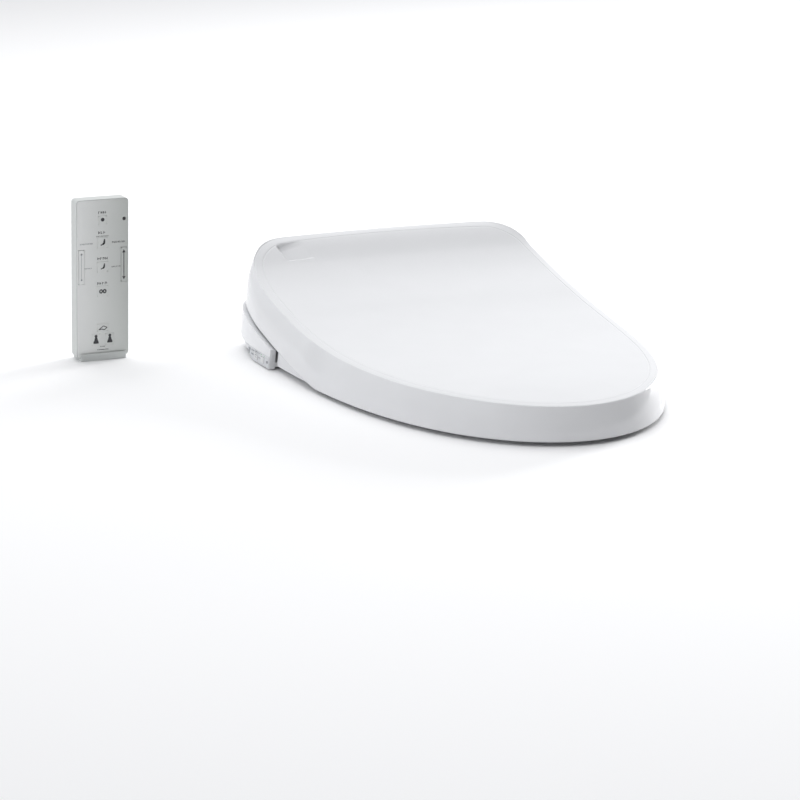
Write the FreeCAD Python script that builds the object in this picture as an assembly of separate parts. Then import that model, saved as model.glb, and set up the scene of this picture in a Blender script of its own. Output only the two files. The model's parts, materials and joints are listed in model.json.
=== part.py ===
import functools
import math
import os

import FreeCAD
import Part

# Electric bidet seat, closed, in millimetres. +Z is up and -Y is the front of the seat.
# The origin is midway between the two mounting slots, on the underside of the base plate.

V = FreeCAD.Vector

# ---------------------------------------------------------------- driving dimensions
# lid
lid_half_width = 195.0
lid_front_y = -476.0
lid_wide_y = -51.5
lid_rear_y = 58.0
lid_rear_taper = 20.0
lid_corner_r = 43.0
lid_rear_bow = 8.7
lid_round_x = 1.96
lid_round_y = 2.9
lid_draft = 0.075
lid_edge_r = 7.0
lid_wall = 3.0
lid_lip_z = 103.0
skirt_z = 4.0
skirt_rise = 56.0
skirt_rise_y = -192.0
skirt_rise_power = 1.13
lid_top_points = [(-400.0, 41.1), (-300.0, 42.5), (-200.0, 47.6), (-100.0, 61.9), (0.0, 91.5), (42.0, 116.5)]
lid_rear_z = 119.5
lid_front_z = 39.0

# hinge
hinge_y = 36.0
hinge_z = 88.0
shaft_r = 4.0
lug_r = 10.0
hinge_side_gap = 1.0
bracket_t = 4.0
lid_lug_t = 8.0
seat_lug_t = 9.0
hinge_outset = 18.0

# seat ring
seat_inset = 7.5
seat_rear_y = -95.0
seat_bottom_z = 6.0
seat_wall = 2.5
seat_plate_t = 3.5
seat_edge_r = 5.0
sheet_gap = 0.15
sheet_t = 0.8
seat_top_points = [(-400.0, 31.5), (-300.0, 33.0), (-200.0, 37.5), (-95.0, 47.0)]
seat_front_z = 29.5
hole_half_width = 108.0
hole_front_y = -400.0
hole_rear_y = -126.0
hole_power = 2.25
tunnel_half_width = 106.0
tunnel_z = 29.0

# main unit
unit_front_y = -88.0
unit_wall = 2.5
unit_floor_z = 3.0
unit_floor_t = 3.0
unit_roof_gap = 3.5
shelf_z = 50.0
shelf_front_z = 8.0
shelf_knee_y = 0.0
cover_rear_gap = 4.0
base_inset = 8.0
cheek_inset = 1.2
cheek_gap = 2.5
cheek_x0 = 153.0
post_r = 4.5

# base plate and its slots
plate_half_width = 100.0
plate_front_y = -38.0
plate_rear_y = 52.0
plate_t = 2.7
slot_spacing = 140.0
slot_half_width = 5.5
slot_length = 24.0
plate_gap = 0.3

# wand, at a slope through the port in the unit's front
wand_slope = math.radians(30.0)
wand_port_z = 5.0
wand_r = 7.0
wand_length = 110.0
wand_recess = 28.0
wand_tip_length = 14.0
wand_guide_gap = 0.25
guide_wall = 2.2
guide_start = 14.0
guide_end = 62.0
guide_foot_reach = 7.0
motor_gap = 1.05
motor_r = 11.0
motor_length = 17.5
motor_foot_gap = 0.55
motor_foot_x1 = 24.0
rack_base = 6.2
rack_pitch_height = 7.2
rack_tip = 8.0
rack_half_width = 3.0
gear_module = 1.0
gear_teeth = 12
tooth_thickness = 1.2
pinion_station = 44.0
pinion_half_width = 4.0
pinion_shaft_r = 2.0
pinion_shaft_length = 10.0
shutter_hinge_z = 25.0
port_half_width = 12.8
port_top_gap = 2.2
flap_set = 2.0
flap_t = 1.6
flap_barrel_r = 1.6
flap_pin_r = 0.9

# dryer
dryer_x0 = -97.0
dryer_x1 = -63.0
dryer_fan_r = 26.0
dryer_fan_y = 5.0
dryer_fan_z = 47.0
outlet_z0 = 12.0
outlet_z1 = 32.0
duct_wall = 2.0
fan_gap = 4.0
duct_intake_r = 12.0
outlet_rise = 1.5

# deodorizer
deo_x0 = 88.0
deo_x1 = 115.0
deo_y0 = -38.0
deo_y1 = -4.0
deo_z1 = 46.0
deo_fan_z = 29.0
deo_fan_r = 15.0
filter_z0 = 10.0
filter_z1 = 27.0

# handset
remote_x = -345.0
remote_y = 20.0
remote_w = 60.0
remote_h = 176.0
remote_d = 18.0
remote_wall = 2.0
holder_t = 3.0
holder_gap = 0.3
face_t = 1.5
button_gap = 0.35
button_proud = 0.4
button_depth = 2.6
button_corner_r = 1.2
face_inset = 0.6
face_corner_r = 3.4
case_corner_r = 4.0
board_gap = 0.8
board_d0 = 5.5
board_t = 1.5
cell_r = 3.6
cell_length = 44.0
cell_z = 57.0
cell_x = 7.0
lens_r = 2.0
lens_inset = 5.0
lens_z = 153.0
holder_inset = 4.0
holder_back_z = 112.0
holder_lip_z = 5.0

# water inlet, cord gland and strainer plug
inlet_x = 140.0
inlet_z = 22.0
inlet_end_y = 68.0
inlet_bore_r = 5.5
inlet_hole_r = 11.5
stub_r = 9.8
stub_y0 = 26.0
thread_r = 10.4
thread_y0 = 52.0
valve_x0 = 124.0
valve_x1 = 156.0
valve_y0 = -3.0
valve_y1 = 27.5
valve_top_z = 36.0
coil_r = 8.0
coil_h = 6.0
gland_x = -140.0
gland_z = 22.0
gland_y0 = 30.5
gland_flange_t = 5.0
gland_flange_r = 9.0
gland_r = 6.0
gland_end_y = 62.0
cord_r = 3.4
plug_y = 14.0
plug_z = 18.0
plug_r = 9.0
plug_gap = 0.4
plug_x0 = 156.3
plug_stem_x0 = 150.0
plug_stem_r = 6.0

# tank, pump, vacuum breaker, hose and boards
tank_x0 = 34.0
tank_x1 = 84.0
tank_y0 = -78.0
tank_y1 = -30.0
tank_z1 = 44.0
tank_lid_inset = 3.0
tank_lid_t = 3.0
pump_x = 101.0
pump_y = -60.0
pump_r = 11.0
pump_z1 = 34.0
breaker_x = 44.0
breaker_y = -2.0
breaker_r = 9.0
breaker_z1 = 56.0
pipe_r = 3.0
hose_y = 10.0
hose_z = 16.0
hose_bend_x = 60.0
main_board_y = 20.0
main_board_t = 1.6
main_board_z1 = 72.0
power_x0 = -156.0
power_x1 = -124.0
power_y0 = -12.0
power_y1 = 24.0
power_z1 = 36.0
fin_pitch = 6.0
fin_t = 2.0
fin_h = 4.0

# side cover's label, buttons, screws and feet
label_z0 = 1.8
label_z1 = 13.8
label_rear_y = -8.0
label_inset = 0.7
button_spots = ((-70.0, 4.5), (-52.0, 4.5))
button_w = 9.0
button_h = 6.0
button_inset = 0.2
release_y0 = 14.0
release_y1 = 30.0
release_z0 = 4.0
release_z1 = 12.0
release_inset = 0.4
screw_r = 1.7
screw_head_r = 3.4
screw_set = 3.9
foot_spots = ((150.0, -70.0), (137.0, 26.0), (60.0, -66.0))
foot_half_x = 14.0
foot_half_y = 8.0
bumper_spots = ((78.0, -420.0), (150.0, -205.0))
bumper_r = 8.0
bumper_stud_r = 4.0
bumper_stud_h = 1.5
lid_pad_spots = ((118.0, -385.0), (150.0, -150.0))
lid_pad_r = 6.0
lens_spots = ((-70.0, -38.0), (46.0, 84.0))
lens_y0 = -66.0
lens_y1 = -52.0
lens_t = 1.2

fit_gap = 0.05
clear = 0.3

# ---------------------------------------------------------------- values that follow
lid_rear_half_width = lid_half_width - lid_rear_taper
hinge_x1 = lid_rear_half_width - lid_corner_r + hinge_outset
bracket_x0 = hinge_x1 - bracket_t
lid_lug_x1 = bracket_x0 - hinge_side_gap
lid_lug_x0 = lid_lug_x1 - lid_lug_t
seat_lug_x1 = lid_lug_x0 - hinge_side_gap
seat_lug_x0 = seat_lug_x1 - seat_lug_t
block_x = seat_lug_x0 - hinge_side_gap - 4.0
unit_inner_y = unit_front_y + unit_wall
cover_rear_y = hinge_y + cover_rear_gap
hump_r = lug_r + 2.0
floor_z = unit_floor_z + unit_floor_t
deo_fan_y = (deo_y0 + deo_y1) / 2.0
guide_half = wand_r + wand_guide_gap + guide_wall
guide_foot_half = wand_r + wand_guide_gap + guide_foot_reach
wand_dir = V(0, -math.cos(wand_slope), -math.sin(wand_slope))
wand_up = V(0, -math.sin(wand_slope), math.cos(wand_slope))
wand_angle = math.degrees(wand_slope)
remote_lift = holder_t + holder_gap
far = 600.0


# ---------------------------------------------------------------- small shape helpers
def box(x0, x1, y0, y1, z0, z1):
    return Part.makeBox(x1 - x0, y1 - y0, z1 - z0, V(x0, y0, z0))


def cyl(x, y, z, r, length, axis):
    return Part.makeCylinder(r, length, V(x, y, z), axis)


def cyl_x(y, z, r, x0, x1):
    return cyl(x0, y, z, r, x1 - x0, V(1, 0, 0))


def cyl_z(x, y, r, z0, z1):
    return cyl(x, y, z0, r, z1 - z0, V(0, 0, 1))


def ring_x(y, z, r1, r0, x0, x1):
    return cyl_x(y, z, r1, x0, x1).cut(cyl_x(y, z, r0, x0 - 1, x1 + 1))


def polygon_x(points, x0, x1):
    """A prism along X over a polygon of (y, z) points."""
    corners = [V(x0, y, z) for y, z in points]
    face = Part.Face(Part.makePolygon(corners + corners[:1]))
    return face.extrude(V(x1 - x0, 0, 0))


def mirror_x(shape):
    return shape.mirror(V(0, 0, 0), V(1, 0, 0))


def fuse(first, *others):
    for other in others:
        first = first.fuse(other)
    return first.removeSplitter()


def group(*shapes):
    return Part.makeCompound([solid for shape in shapes for solid in shape.Solids])


def along(shape, x, y, z, angle):
    """Turn a shape made about the origin by an angle about X, then move it."""
    shape = shape.copy()
    shape.rotate(V(0, 0, 0), V(1, 0, 0), angle)
    shape.translate(V(x, y, z))
    return shape


# ---------------------------------------------------------------- outlines and profiles
def side_x(y):
    """Half width of the lid behind its widest point, with the rear corner's arc."""
    k = (y - lid_wide_y) / (lid_rear_y - lid_wide_y)
    x = lid_half_width - lid_rear_taper * k * k
    c = max(0.0, 1.0 - (lid_rear_y - y) / lid_corner_r)
    return x - lid_corner_r * (1.0 - math.sqrt(max(0.0, 1.0 - c * c)))


def half_outline():
    """The lid's right half, from the middle of the rear round to the front tip."""
    points = []
    corner_x = lid_rear_half_width - lid_corner_r
    corner_y = lid_rear_y - lid_corner_r
    for i in range(5):
        points.append((corner_x * i / 5.0, lid_rear_y))
    for i in range(8):
        y = corner_y + lid_corner_r * math.cos(math.pi * i / 16.0)
        points.append((side_x(y), y))
    for i in range(4):
        y = corner_y + (lid_wide_y - corner_y) * i / 4.0
        points.append((side_x(y), y))
    for i in range(21):
        t = math.pi * i / 40.0
        x = lid_half_width * max(0.0, math.cos(t)) ** (2.0 / lid_round_x)
        y = lid_wide_y - (lid_wide_y - lid_front_y) * math.sin(t) ** (2.0 / lid_round_y)
        points.append((x if i < 20 else 0.0, y))
    bowed = []
    for x, y in points:
        m = min(1.0, max(0.0, (y - lid_rear_y + 60.0) / 60.0))
        bowed.append((x, y - lid_rear_bow * (x / lid_half_width) ** 2 * m))
    return bowed


def outline_wire(inset, z):
    """The lid's outline, moved inwards, as one curve for each side."""
    half = half_outline()
    full = half + [(-x, y) for x, y in reversed(half[1:-1])]
    n = len(full)
    moved = []
    for i in range(n):
        ax, ay = full[i - 1]
        bx, by = full[(i + 1) % n]
        length = math.hypot(bx - ax, by - ay)
        x, y = full[i]
        moved.append(V(x + (by - ay) / length * inset, y - (bx - ax) / length * inset, z))
    tip = len(half) - 1
    right = Part.BSplineCurve()
    right.interpolate(moved[:tip + 1], InitialTangent=V(1, 0, 0), FinalTangent=V(-1, 0, 0), Scale=False)
    left = Part.BSplineCurve()
    left.interpolate(moved[tip:] + moved[:1], InitialTangent=V(-1, 0, 0), FinalTangent=V(1, 0, 0), Scale=False)
    return Part.Wire([right.toShape(), left.toShape()])


def outline_solid(inset, z0=-10.0, z1=140.0):
    """A drafted block over the lid's outline, which is true to size at z = 0."""
    low = outline_wire(inset + lid_draft * max(z0, 0.0), z0)
    high = outline_wire(inset + lid_draft * z1, z1)
    return Part.makeLoft([low, high], True, True)


def top_curve(points, drop):
    curve = Part.BSplineCurve()
    curve.interpolate([V(0, y, z - drop) for y, z in points])
    return curve


def lid_points():
    return [(lid_front_y - 25.0, lid_front_z)] + lid_top_points + [(lid_rear_y + 12.0, lid_rear_z)]


def lid_top(y):
    """Height of the lid's top at y."""
    curve = top_curve(lid_points(), 0.0)
    return curve.intersectCC(Part.LineSegment(V(0, y, 0), V(0, y, 200)).toShape().Curve)[0].Z


def skirt_bottom(y):
    k = max(0.0, (y - skirt_rise_y) / (lid_rear_y - skirt_rise_y))
    return skirt_z + skirt_rise * k ** skirt_rise_power


def under_curve(points, drop, z_low):
    """A slab across the whole width, under a curve of (y, z) points and above z_low."""
    curve = top_curve(points, drop)
    y0 = points[0][0]
    y1 = points[-1][0]
    start = V(0, y0, points[0][1] - drop)
    end = V(0, y1, points[-1][1] - drop)
    edges = [curve.toShape(), Part.makeLine(end, V(0, y1, z_low))]
    edges += [Part.makeLine(V(0, y1, z_low), V(0, y0, z_low)), Part.makeLine(V(0, y0, z_low), start)]
    slab = Part.Face(Part.Wire(edges)).extrude(V(2 * far, 0, 0))
    slab.translate(V(-far, 0, 0))
    return slab


def below_skirt(gap):
    """Everything under the rising lower edge of the lid, less a gap."""
    steps = [skirt_rise_y + 12.0 + (lid_rear_y + 30.0 - skirt_rise_y) * i / 8.0 for i in range(9)]
    points = [(lid_front_y - 30.0, skirt_z - gap), (skirt_rise_y, skirt_z - gap)]
    points += [(y, skirt_bottom(y) - gap) for y in steps]
    points += [(points[-1][0], -60.0), (points[0][0], -60.0)]
    return polygon_x(points, -far, far)


def shelf_block(drop, x):
    """The unit's lower part: everything under the sloping shelf."""
    rear = lid_rear_y + 40.0
    points = [(unit_front_y - 40.0, shelf_front_z - drop), (unit_front_y, shelf_front_z - drop)]
    points += [(shelf_knee_y, shelf_z - drop), (rear, shelf_z - drop)]
    points += [(rear, -40.0), (unit_front_y - 40.0, -40.0)]
    return polygon_x(points, -x, x)


def cover_profile(inset, low, x):
    """The top cover's block: front, sloping roof, hinge hump and rear wall."""
    radius = hump_r - inset
    roof = []
    for y in (unit_front_y + inset, -62.0, -36.0, -12.0, 8.0):
        roof.append(V(-x, y, lid_top(y) - lid_wall - unit_roof_gap - inset * 1.08))
    angle = math.radians(112.0)
    roof.append(V(-x, hinge_y + radius * math.cos(angle), hinge_z + radius * math.sin(angle)))
    curve = Part.BSplineCurve()
    curve.interpolate(roof, InitialTangent=V(0, 1, 0.25), FinalTangent=V(0, math.sin(angle), -math.cos(angle)))
    rear = cover_rear_y - inset
    drop = math.sqrt(radius ** 2 - (rear - hinge_y) ** 2)
    hump_end = V(-x, rear, hinge_z - drop)
    hump = Part.Arc(roof[-1], V(-x, hinge_y + radius, hinge_z), hump_end).toShape()
    points = [hump_end, V(-x, rear, shelf_z - low), V(-x, shelf_knee_y, shelf_z - low)]
    points += [V(-x, unit_front_y + inset, shelf_front_z - low), roof[0]]
    edges = [curve.toShape(), hump]
    for a, b in zip(points, points[1:]):
        edges.append(Part.makeLine(a, b))
    return Part.Face(Part.Wire(edges)).extrude(V(2 * x, 0, 0))


# ---------------------------------------------------------------- lid
def lid_shell():
    body = outline_solid(0.0).common(under_curve(lid_points(), 0.0, -20.0))
    edges = [e for e in body.Edges if e.BoundBox.ZMin > 20.0 and e.BoundBox.YLength > 300.0]
    body = body.makeFillet(lid_edge_r, edges)
    body = body.cut(below_skirt(0.0))
    cavity = outline_solid(lid_wall).common(under_curve(lid_points(), lid_wall, -20.0))
    shell = body.cut(cavity)
    rear_x = lid_rear_half_width - 9.0
    shell = shell.cut(box(-rear_x, rear_x, hinge_y + 4.0, lid_rear_y + 30.0, -10.0, lid_lip_z))
    arm_x = hinge_x1 + 2.0
    shell = shell.cut(box(-arm_x, arm_x, hinge_y - lug_r - 1.0, lid_rear_y + 30.0, -10.0, lid_lip_z))
    lug = fuse(cyl_x(hinge_y, hinge_z, lug_r, lid_lug_x0, lid_lug_x1),
               box(lid_lug_x0, lid_lug_x1, hinge_y - lug_r, hinge_y + lug_r, hinge_z, hinge_z + 30.0))
    lug = lug.common(under_curve(lid_points(), lid_wall * 0.5, -20.0)).common(outline_solid(lid_wall * 0.5))
    shell = fuse(shell, lug, mirror_x(lug))
    return shell.cut(cyl_x(hinge_y, hinge_z, shaft_r + fit_gap, -hinge_x1, hinge_x1))


def seat_points():
    front = (lid_front_y - 25.0, seat_front_z)
    rear = (seat_rear_y + 20.0, seat_top_points[-1][1] + 2.0)
    return [front] + seat_top_points + [rear]


def seat_top_z(y):
    curve = top_curve(seat_points(), 0.0)
    return curve.intersectCC(Part.LineSegment(V(0, y, 0), V(0, y, 200)).toShape().Curve)[0].Z


def lid_bumpers():
    """Four soft pads under the lid, which rest on the seat ring."""
    roof = under_curve(lid_points(), lid_wall, -20.0)
    pads = []
    for x, y in lid_pad_spots:
        pad = cyl_z(x, y, lid_pad_r, seat_top_z(y + lid_pad_r) + clear, 200.0).common(roof)
        pads += [pad, mirror_x(pad)]
    return group(*pads)


# ---------------------------------------------------------------- seat ring
def hole_block(grow, z0, z1):
    """The egg-shaped opening of the ring."""
    a = hole_half_width + grow
    b = (hole_rear_y - hole_front_y) / 2.0 + grow
    mid = (hole_rear_y + hole_front_y) / 2.0
    n = 44
    points = []
    for i in range(n):
        t = 2.0 * math.pi * i / n
        c = math.cos(t)
        s = math.sin(t)
        x = a * math.copysign(abs(c) ** (2.0 / hole_power), c)
        y = mid + b * math.copysign(abs(s) ** (2.0 / hole_power), s)
        points.append(V(x, y, z0))
    curve = Part.BSplineCurve()
    curve.interpolate(points, PeriodicFlag=True)
    return Part.Face(Part.Wire([curve.toShape()])).extrude(V(0, 0, z1 - z0))


def seat_arm(grow=0.0):
    """One hinge arm: a curved blade from the ring's rear up to the lug on the shaft."""
    root = seat_bottom_z + seat_plate_t
    points = [(seat_rear_y - 40.0, seat_bottom_z - grow), (seat_rear_y, seat_bottom_z - grow)]
    points += [(hinge_y + 5.0, hinge_z - lug_r + 1.5 - grow), (hinge_y - 5.0, hinge_z + lug_r - 1.5 + grow)]
    points += [(seat_rear_y - 2.0, root + 24.0 + grow), (seat_rear_y - 40.0, root + 8.0 + grow)]
    arm = polygon_x(points, seat_lug_x0 - grow, seat_lug_x1 + grow)
    return arm.fuse(cyl_x(hinge_y, hinge_z, lug_r, seat_lug_x0, seat_lug_x1))


def seat_block(inset, drop, z0):
    body = outline_solid(seat_inset + inset).common(under_curve(seat_points(), drop, z0))
    return body.common(box(-far, far, -far, seat_rear_y - inset, z0, 200.0))


def seat_top():
    z0 = seat_bottom_z + seat_plate_t
    body = seat_block(0.0, 0.0, z0)
    edges = [e for e in body.Edges if e.BoundBox.ZMin > 24.0 and e.BoundBox.YLength > 100.0]
    body = body.makeFillet(seat_edge_r, edges)
    body = body.cut(hole_block(0.0, -20.0, 100.0))
    cavity = seat_block(seat_wall, seat_wall, z0 - 5.0).cut(hole_block(seat_wall, -20.0, 100.0))
    shell = body.cut(cavity)
    tunnel_y = hole_rear_y - 8.0
    walls = box(-tunnel_half_width - seat_wall, tunnel_half_width + seat_wall,
                tunnel_y, seat_rear_y, z0, tunnel_z + seat_wall)
    walls = walls.common(body)
    shell = fuse(shell, walls)
    shell = shell.cut(box(-tunnel_half_width, tunnel_half_width,
                          tunnel_y - 30.0, seat_rear_y + 5.0, 0.0, tunnel_z))
    for arm in (seat_arm(clear), mirror_x(seat_arm(clear))):
        shell = shell.cut(arm)
    return shell


def seat_bottom():
    plate = seat_block(0.0, 0.0, seat_bottom_z)
    plate = plate.common(box(-far, far, -far, far, seat_bottom_z, seat_bottom_z + seat_plate_t))
    plate = plate.cut(hole_block(0.0, -20.0, 100.0))
    plate = plate.cut(box(-tunnel_half_width, tunnel_half_width,
                          hole_rear_y - 38.0, seat_rear_y + 5.0, 0.0, 50.0))
    for x, y in bumper_spots:
        for side in (-1.0, 1.0):
            plate = plate.cut(cyl_z(side * x, y, bumper_stud_r, 0.0, seat_bottom_z + bumper_stud_h))
    arm = seat_arm()
    body = fuse(plate, arm, mirror_x(arm))
    bore = lug_r - 4.0
    for side in (1.0, -1.0):
        x0 = min(side * (seat_lug_x0 - 1.0), side * (seat_lug_x1 + 1.0))
        body = body.cut(cyl_x(hinge_y, hinge_z, bore, x0, x0 + seat_lug_t + 2.0))
    return body


def hinge_bushes():
    bush = ring_x(hinge_y, hinge_z, lug_r - 4.0, shaft_r + fit_gap, seat_lug_x0, seat_lug_x1)
    return group(bush, mirror_x(bush))


def seat_heater():
    """A warming sheet under the ring's top skin."""
    drop = seat_wall + sheet_gap
    sheet = seat_block(seat_wall + 4.0, drop, 12.0).cut(seat_block(seat_wall + 4.0, drop + sheet_t, 0.0))
    sheet = sheet.cut(hole_block(seat_wall + 4.0, -20.0, 100.0))
    sheet = sheet.cut(box(-far, far, hole_rear_y - 12.0, 100.0, 0.0, 100.0))
    return sheet.common(box(-far, far, -far, far, seat_front_z - seat_wall - 6.0, 100.0))


def seat_bumpers():
    """Four rubber feet that carry the ring on the bowl's rim."""
    pads = []
    for x, y in bumper_spots:
        stud = cyl_z(x, y, bumper_stud_r, seat_bottom_z - 1.0, seat_bottom_z + bumper_stud_h)
        pad = fuse(cyl_z(x, y, bumper_r, 0.0, seat_bottom_z), stud)
        pads += [pad, mirror_x(pad)]
    return group(*pads)


# ---------------------------------------------------------------- wand geometry
def wand_point(station, height):
    """A point on the wand's line: station is measured back from the port, height across the slope."""
    origin = V(0, unit_front_y, wand_port_z)
    return origin - wand_dir * station + wand_up * height


def wand_box(x0, x1, s0, s1, h0, h1):
    """A block in the wand's own directions."""
    block = Part.makeBox(x1 - x0, s1 - s0, h1 - h0, V(x0, s0, h0))
    p = wand_point(0.0, 0.0)
    return along(block, 0.0, p.y, p.z, wand_angle)


def wand_cyl(r, s0, s1, h=0.0):
    p = wand_point(s0, h)
    return Part.makeCylinder(r, s1 - s0, p, wand_dir * -1.0)


def rack_tooth(s):
    tip = tooth_thickness / 2.0 - (rack_tip - rack_pitch_height) * 0.364
    root = tooth_thickness / 2.0 + (rack_pitch_height - rack_base) * 0.364
    points = [wand_point(s - root, rack_base), wand_point(s - tip, rack_tip)]
    points += [wand_point(s + tip, rack_tip), wand_point(s + root, rack_base)]
    corners = [V(-rack_half_width, p.y, p.z) for p in points]
    face = Part.Face(Part.makePolygon(corners + corners[:1]))
    return face.extrude(V(2 * rack_half_width, 0, 0))


def wand():
    s0 = wand_recess + wand_tip_length
    s1 = wand_recess + wand_length
    body = wand_cyl(wand_r, s0, s1).cut(wand_cyl(3.0, s0 - 1.0, s0 + 8.0))
    body = body.cut(wand_box(-rack_half_width, rack_half_width, s0 - 1.0, s1 + 1.0, rack_base, wand_r + 2.0))
    body = body.cut(wand_box(rack_half_width, wand_r, s0 - 1.0, s1 + 1.0, rack_base, wand_r + 2.0))
    body = body.cut(wand_box(-wand_r, -rack_half_width, s0 - 1.0, s1 + 1.0, rack_base, wand_r + 2.0))
    pitch = math.pi * gear_module
    first = math.ceil((s0 + 1.2 - pinion_station) / pitch)
    last = math.floor((s1 - 1.2 - pinion_station) / pitch)
    teeth = [rack_tooth(pinion_station + k * pitch) for k in range(first, last + 1)]
    return body.multiFuse(teeth).removeSplitter()


def wand_tip():
    s0 = wand_recess
    s1 = wand_recess + wand_tip_length
    body = wand_cyl(wand_r, s0, s1)
    front = [e for e in body.Edges if abs(e.BoundBox.Center.y - wand_point(s0, 0.0).y) < 0.01]
    body = body.makeFillet(3.0, front)
    body = body.cut(wand_box(-wand_r, wand_r, s0 - 1.0, s1 + 1.0, rack_base, wand_r + 2.0))
    body = fuse(body, wand_cyl(3.0, s1 - 0.5, s1 + 7.5))
    for s in (5.0, 8.0, 11.0):
        body = body.cut(Part.makeCylinder(0.7, 5.0, wand_point(s0 + s, rack_base - 3.0), wand_up))
    return body


def wand_guide():
    r0 = wand_r + wand_guide_gap
    tube = wand_cyl(guide_half, guide_start, guide_end)
    block = wand_box(-guide_half, guide_half, guide_start, guide_end, -guide_half, 0.0)
    body = fuse(tube, block).cut(wand_cyl(r0, guide_start - 1.0, guide_end + 1.0))
    slot = rack_half_width + 1.6
    body = body.cut(wand_box(-slot, slot, guide_start - 1.0, guide_end + 1.0, 2.0, 20.0))
    floor_cut = box(-50.0, 50.0, -200.0, 200.0, -40.0, 3.6)
    body = body.cut(floor_cut)
    mid = wand_point(pinion_station, 0.0).y
    feet = box(-guide_foot_half, guide_foot_half, mid - 10.0, mid + 12.0, floor_z, 18.0)
    feet = feet.cut(wand_cyl(r0, 0.0, 120.0))
    return fuse(body, feet)


def wand_pinion():
    """Twelve teeth in mesh with the rack, on a shaft that turns in the motor."""
    centre_height = rack_pitch_height + gear_module * gear_teeth / 2.0
    c = wand_point(pinion_station, centre_height)
    half = pinion_half_width
    root_r = gear_module * gear_teeth / 2.0 - 1.0
    tip_r = gear_module * gear_teeth / 2.0 + 0.7
    body = cyl_x(0.0, 0.0, root_r, -half, half)
    step = 2.0 * math.pi / gear_teeth
    for k in range(gear_teeth):
        a = (k + 0.5) * step
        points = []
        for r, t in ((root_r - 0.3, 1.7), (root_r + 1.0, tooth_thickness), (tip_r, 0.5)):
            points.append((r, -t / 2.0))
            points.insert(0, (r, t / 2.0))
        spun = [(p * math.cos(a) - q * math.sin(a), p * math.sin(a) + q * math.cos(a)) for p, q in points]
        body = body.fuse(polygon_x(spun, -half, half))
    body = body.fuse(cyl_x(0.0, 0.0, pinion_shaft_r, half - 1.0, half + pinion_shaft_length)).removeSplitter()
    return along(body, 0.0, c.y, c.z, wand_angle - 90.0)


def wand_motor():
    c = wand_point(pinion_station, rack_pitch_height + gear_module * gear_teeth / 2.0)
    x0 = guide_half + motor_gap
    body = cyl_x(c.y, c.z, motor_r, x0, x0 + motor_length)
    foot_x0 = guide_foot_half + motor_foot_gap
    foot = box(foot_x0, motor_foot_x1, c.y - 9.0, c.y + 9.0, floor_z, c.z)
    return fuse(body, foot).cut(cyl_x(c.y, c.z, pinion_shaft_r + fit_gap, x0 - 1.5, x0 + 9.5))


def wand_shutter():
    """A flap over the wand's port, which the wand's drive swings up and out."""
    y = unit_front_y - flap_set
    half = port_half_width - 0.5
    flap = box(-half, half, y - flap_t / 2.0, y + flap_t / 2.0, 1.5, shutter_hinge_z)
    barrel = cyl_x(y, shutter_hinge_z, flap_barrel_r, -half, half)
    pin = cyl_x(y, shutter_hinge_z, flap_pin_r, -half - 1.7, half + 1.7)
    return fuse(flap, barrel, pin)


# ---------------------------------------------------------------- main unit
def port_cut():
    return box(-port_half_width, port_half_width, unit_front_y - 10.0, unit_inner_y + 1.0,
               -1.0, shutter_hinge_z + port_top_gap)


def outlet_cut(grow=0.0):
    return box(dryer_x0 - grow, dryer_x1 + grow, unit_front_y - 10.0, unit_inner_y + 1.0,
               outlet_z0 - grow, outlet_z1 + grow)


def unit_region(inset):
    """The unit's outline, behind its front face and under the shelf."""
    return outline_solid(inset).common(box(-far, far, unit_front_y + (inset - base_inset), far, -10.0, 200.0))


def unit_base():
    outer = unit_region(base_inset).common(shelf_block(0.0, far))
    outer = outer.cut(box(-far, far, -far, far, -60.0, unit_floor_z))
    inner = unit_region(base_inset + unit_wall).common(shelf_block(unit_wall, far))
    inner = inner.cut(box(-far, far, -far, far, -60.0, floor_z))
    body = outer.cut(inner)
    body = body.cut(box(-block_x + unit_wall, block_x - unit_wall, unit_inner_y, cover_rear_y - unit_wall,
                        floor_z, 200.0))
    bracket = fuse(cyl_x(hinge_y, hinge_z, lug_r, bracket_x0, hinge_x1),
                   box(bracket_x0, hinge_x1, hinge_y - lug_r, hinge_y + lug_r, shelf_z - 2.0, hinge_z))
    body = fuse(body, bracket, mirror_x(bracket))
    body = body.cut(cyl_x(hinge_y, hinge_z, shaft_r, -hinge_x1 - 5.0, hinge_x1 + 5.0))
    body = body.cut(box(-11.5, 11.5, -far, unit_front_y + 25.0, -1.0, 12.0))
    body = body.cut(port_cut())
    half = slot_length / 2.0 + 6.0
    for side in (-1.0, 1.0):
        x = side * slot_spacing / 2.0
        body = body.cut(box(x - half, x + half, -14.0, far, -1.0, 10.0))
        hook_x0 = plate_half_width - 5.0 + plate_gap
        hook = box(hook_x0, plate_half_width + plate_gap + 4.0, plate_front_y, plate_rear_y - 4.0, 0.4, 1.3)
        rib = box(plate_half_width + plate_gap, plate_half_width + plate_gap + 4.0,
                  plate_front_y, plate_rear_y - 4.0, 0.4, unit_floor_z + 0.5)
        hook = fuse(hook, rib)
        body = body.fuse(hook if side > 0 else mirror_x(hook))
    for cutter in (filter_hole(), plug_hole(), release_hole(), inlet_hole(), gland_hole()):
        body = body.cut(cutter)
    for x, y in screw_points():
        body = body.cut(cyl_z(x, y, screw_r, 0.0, 10.0))
        body = body.cut(cyl_z(x, y, post_r + 0.1, floor_z, shelf_z + 10.0))
    return body.removeSplitter()


def screw_points():
    x = block_x - unit_wall - screw_set
    rows = (unit_inner_y + screw_set, cover_rear_y - unit_wall - screw_set)
    return [(side * x, y) for side in (-1.0, 1.0) for y in rows]


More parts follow.
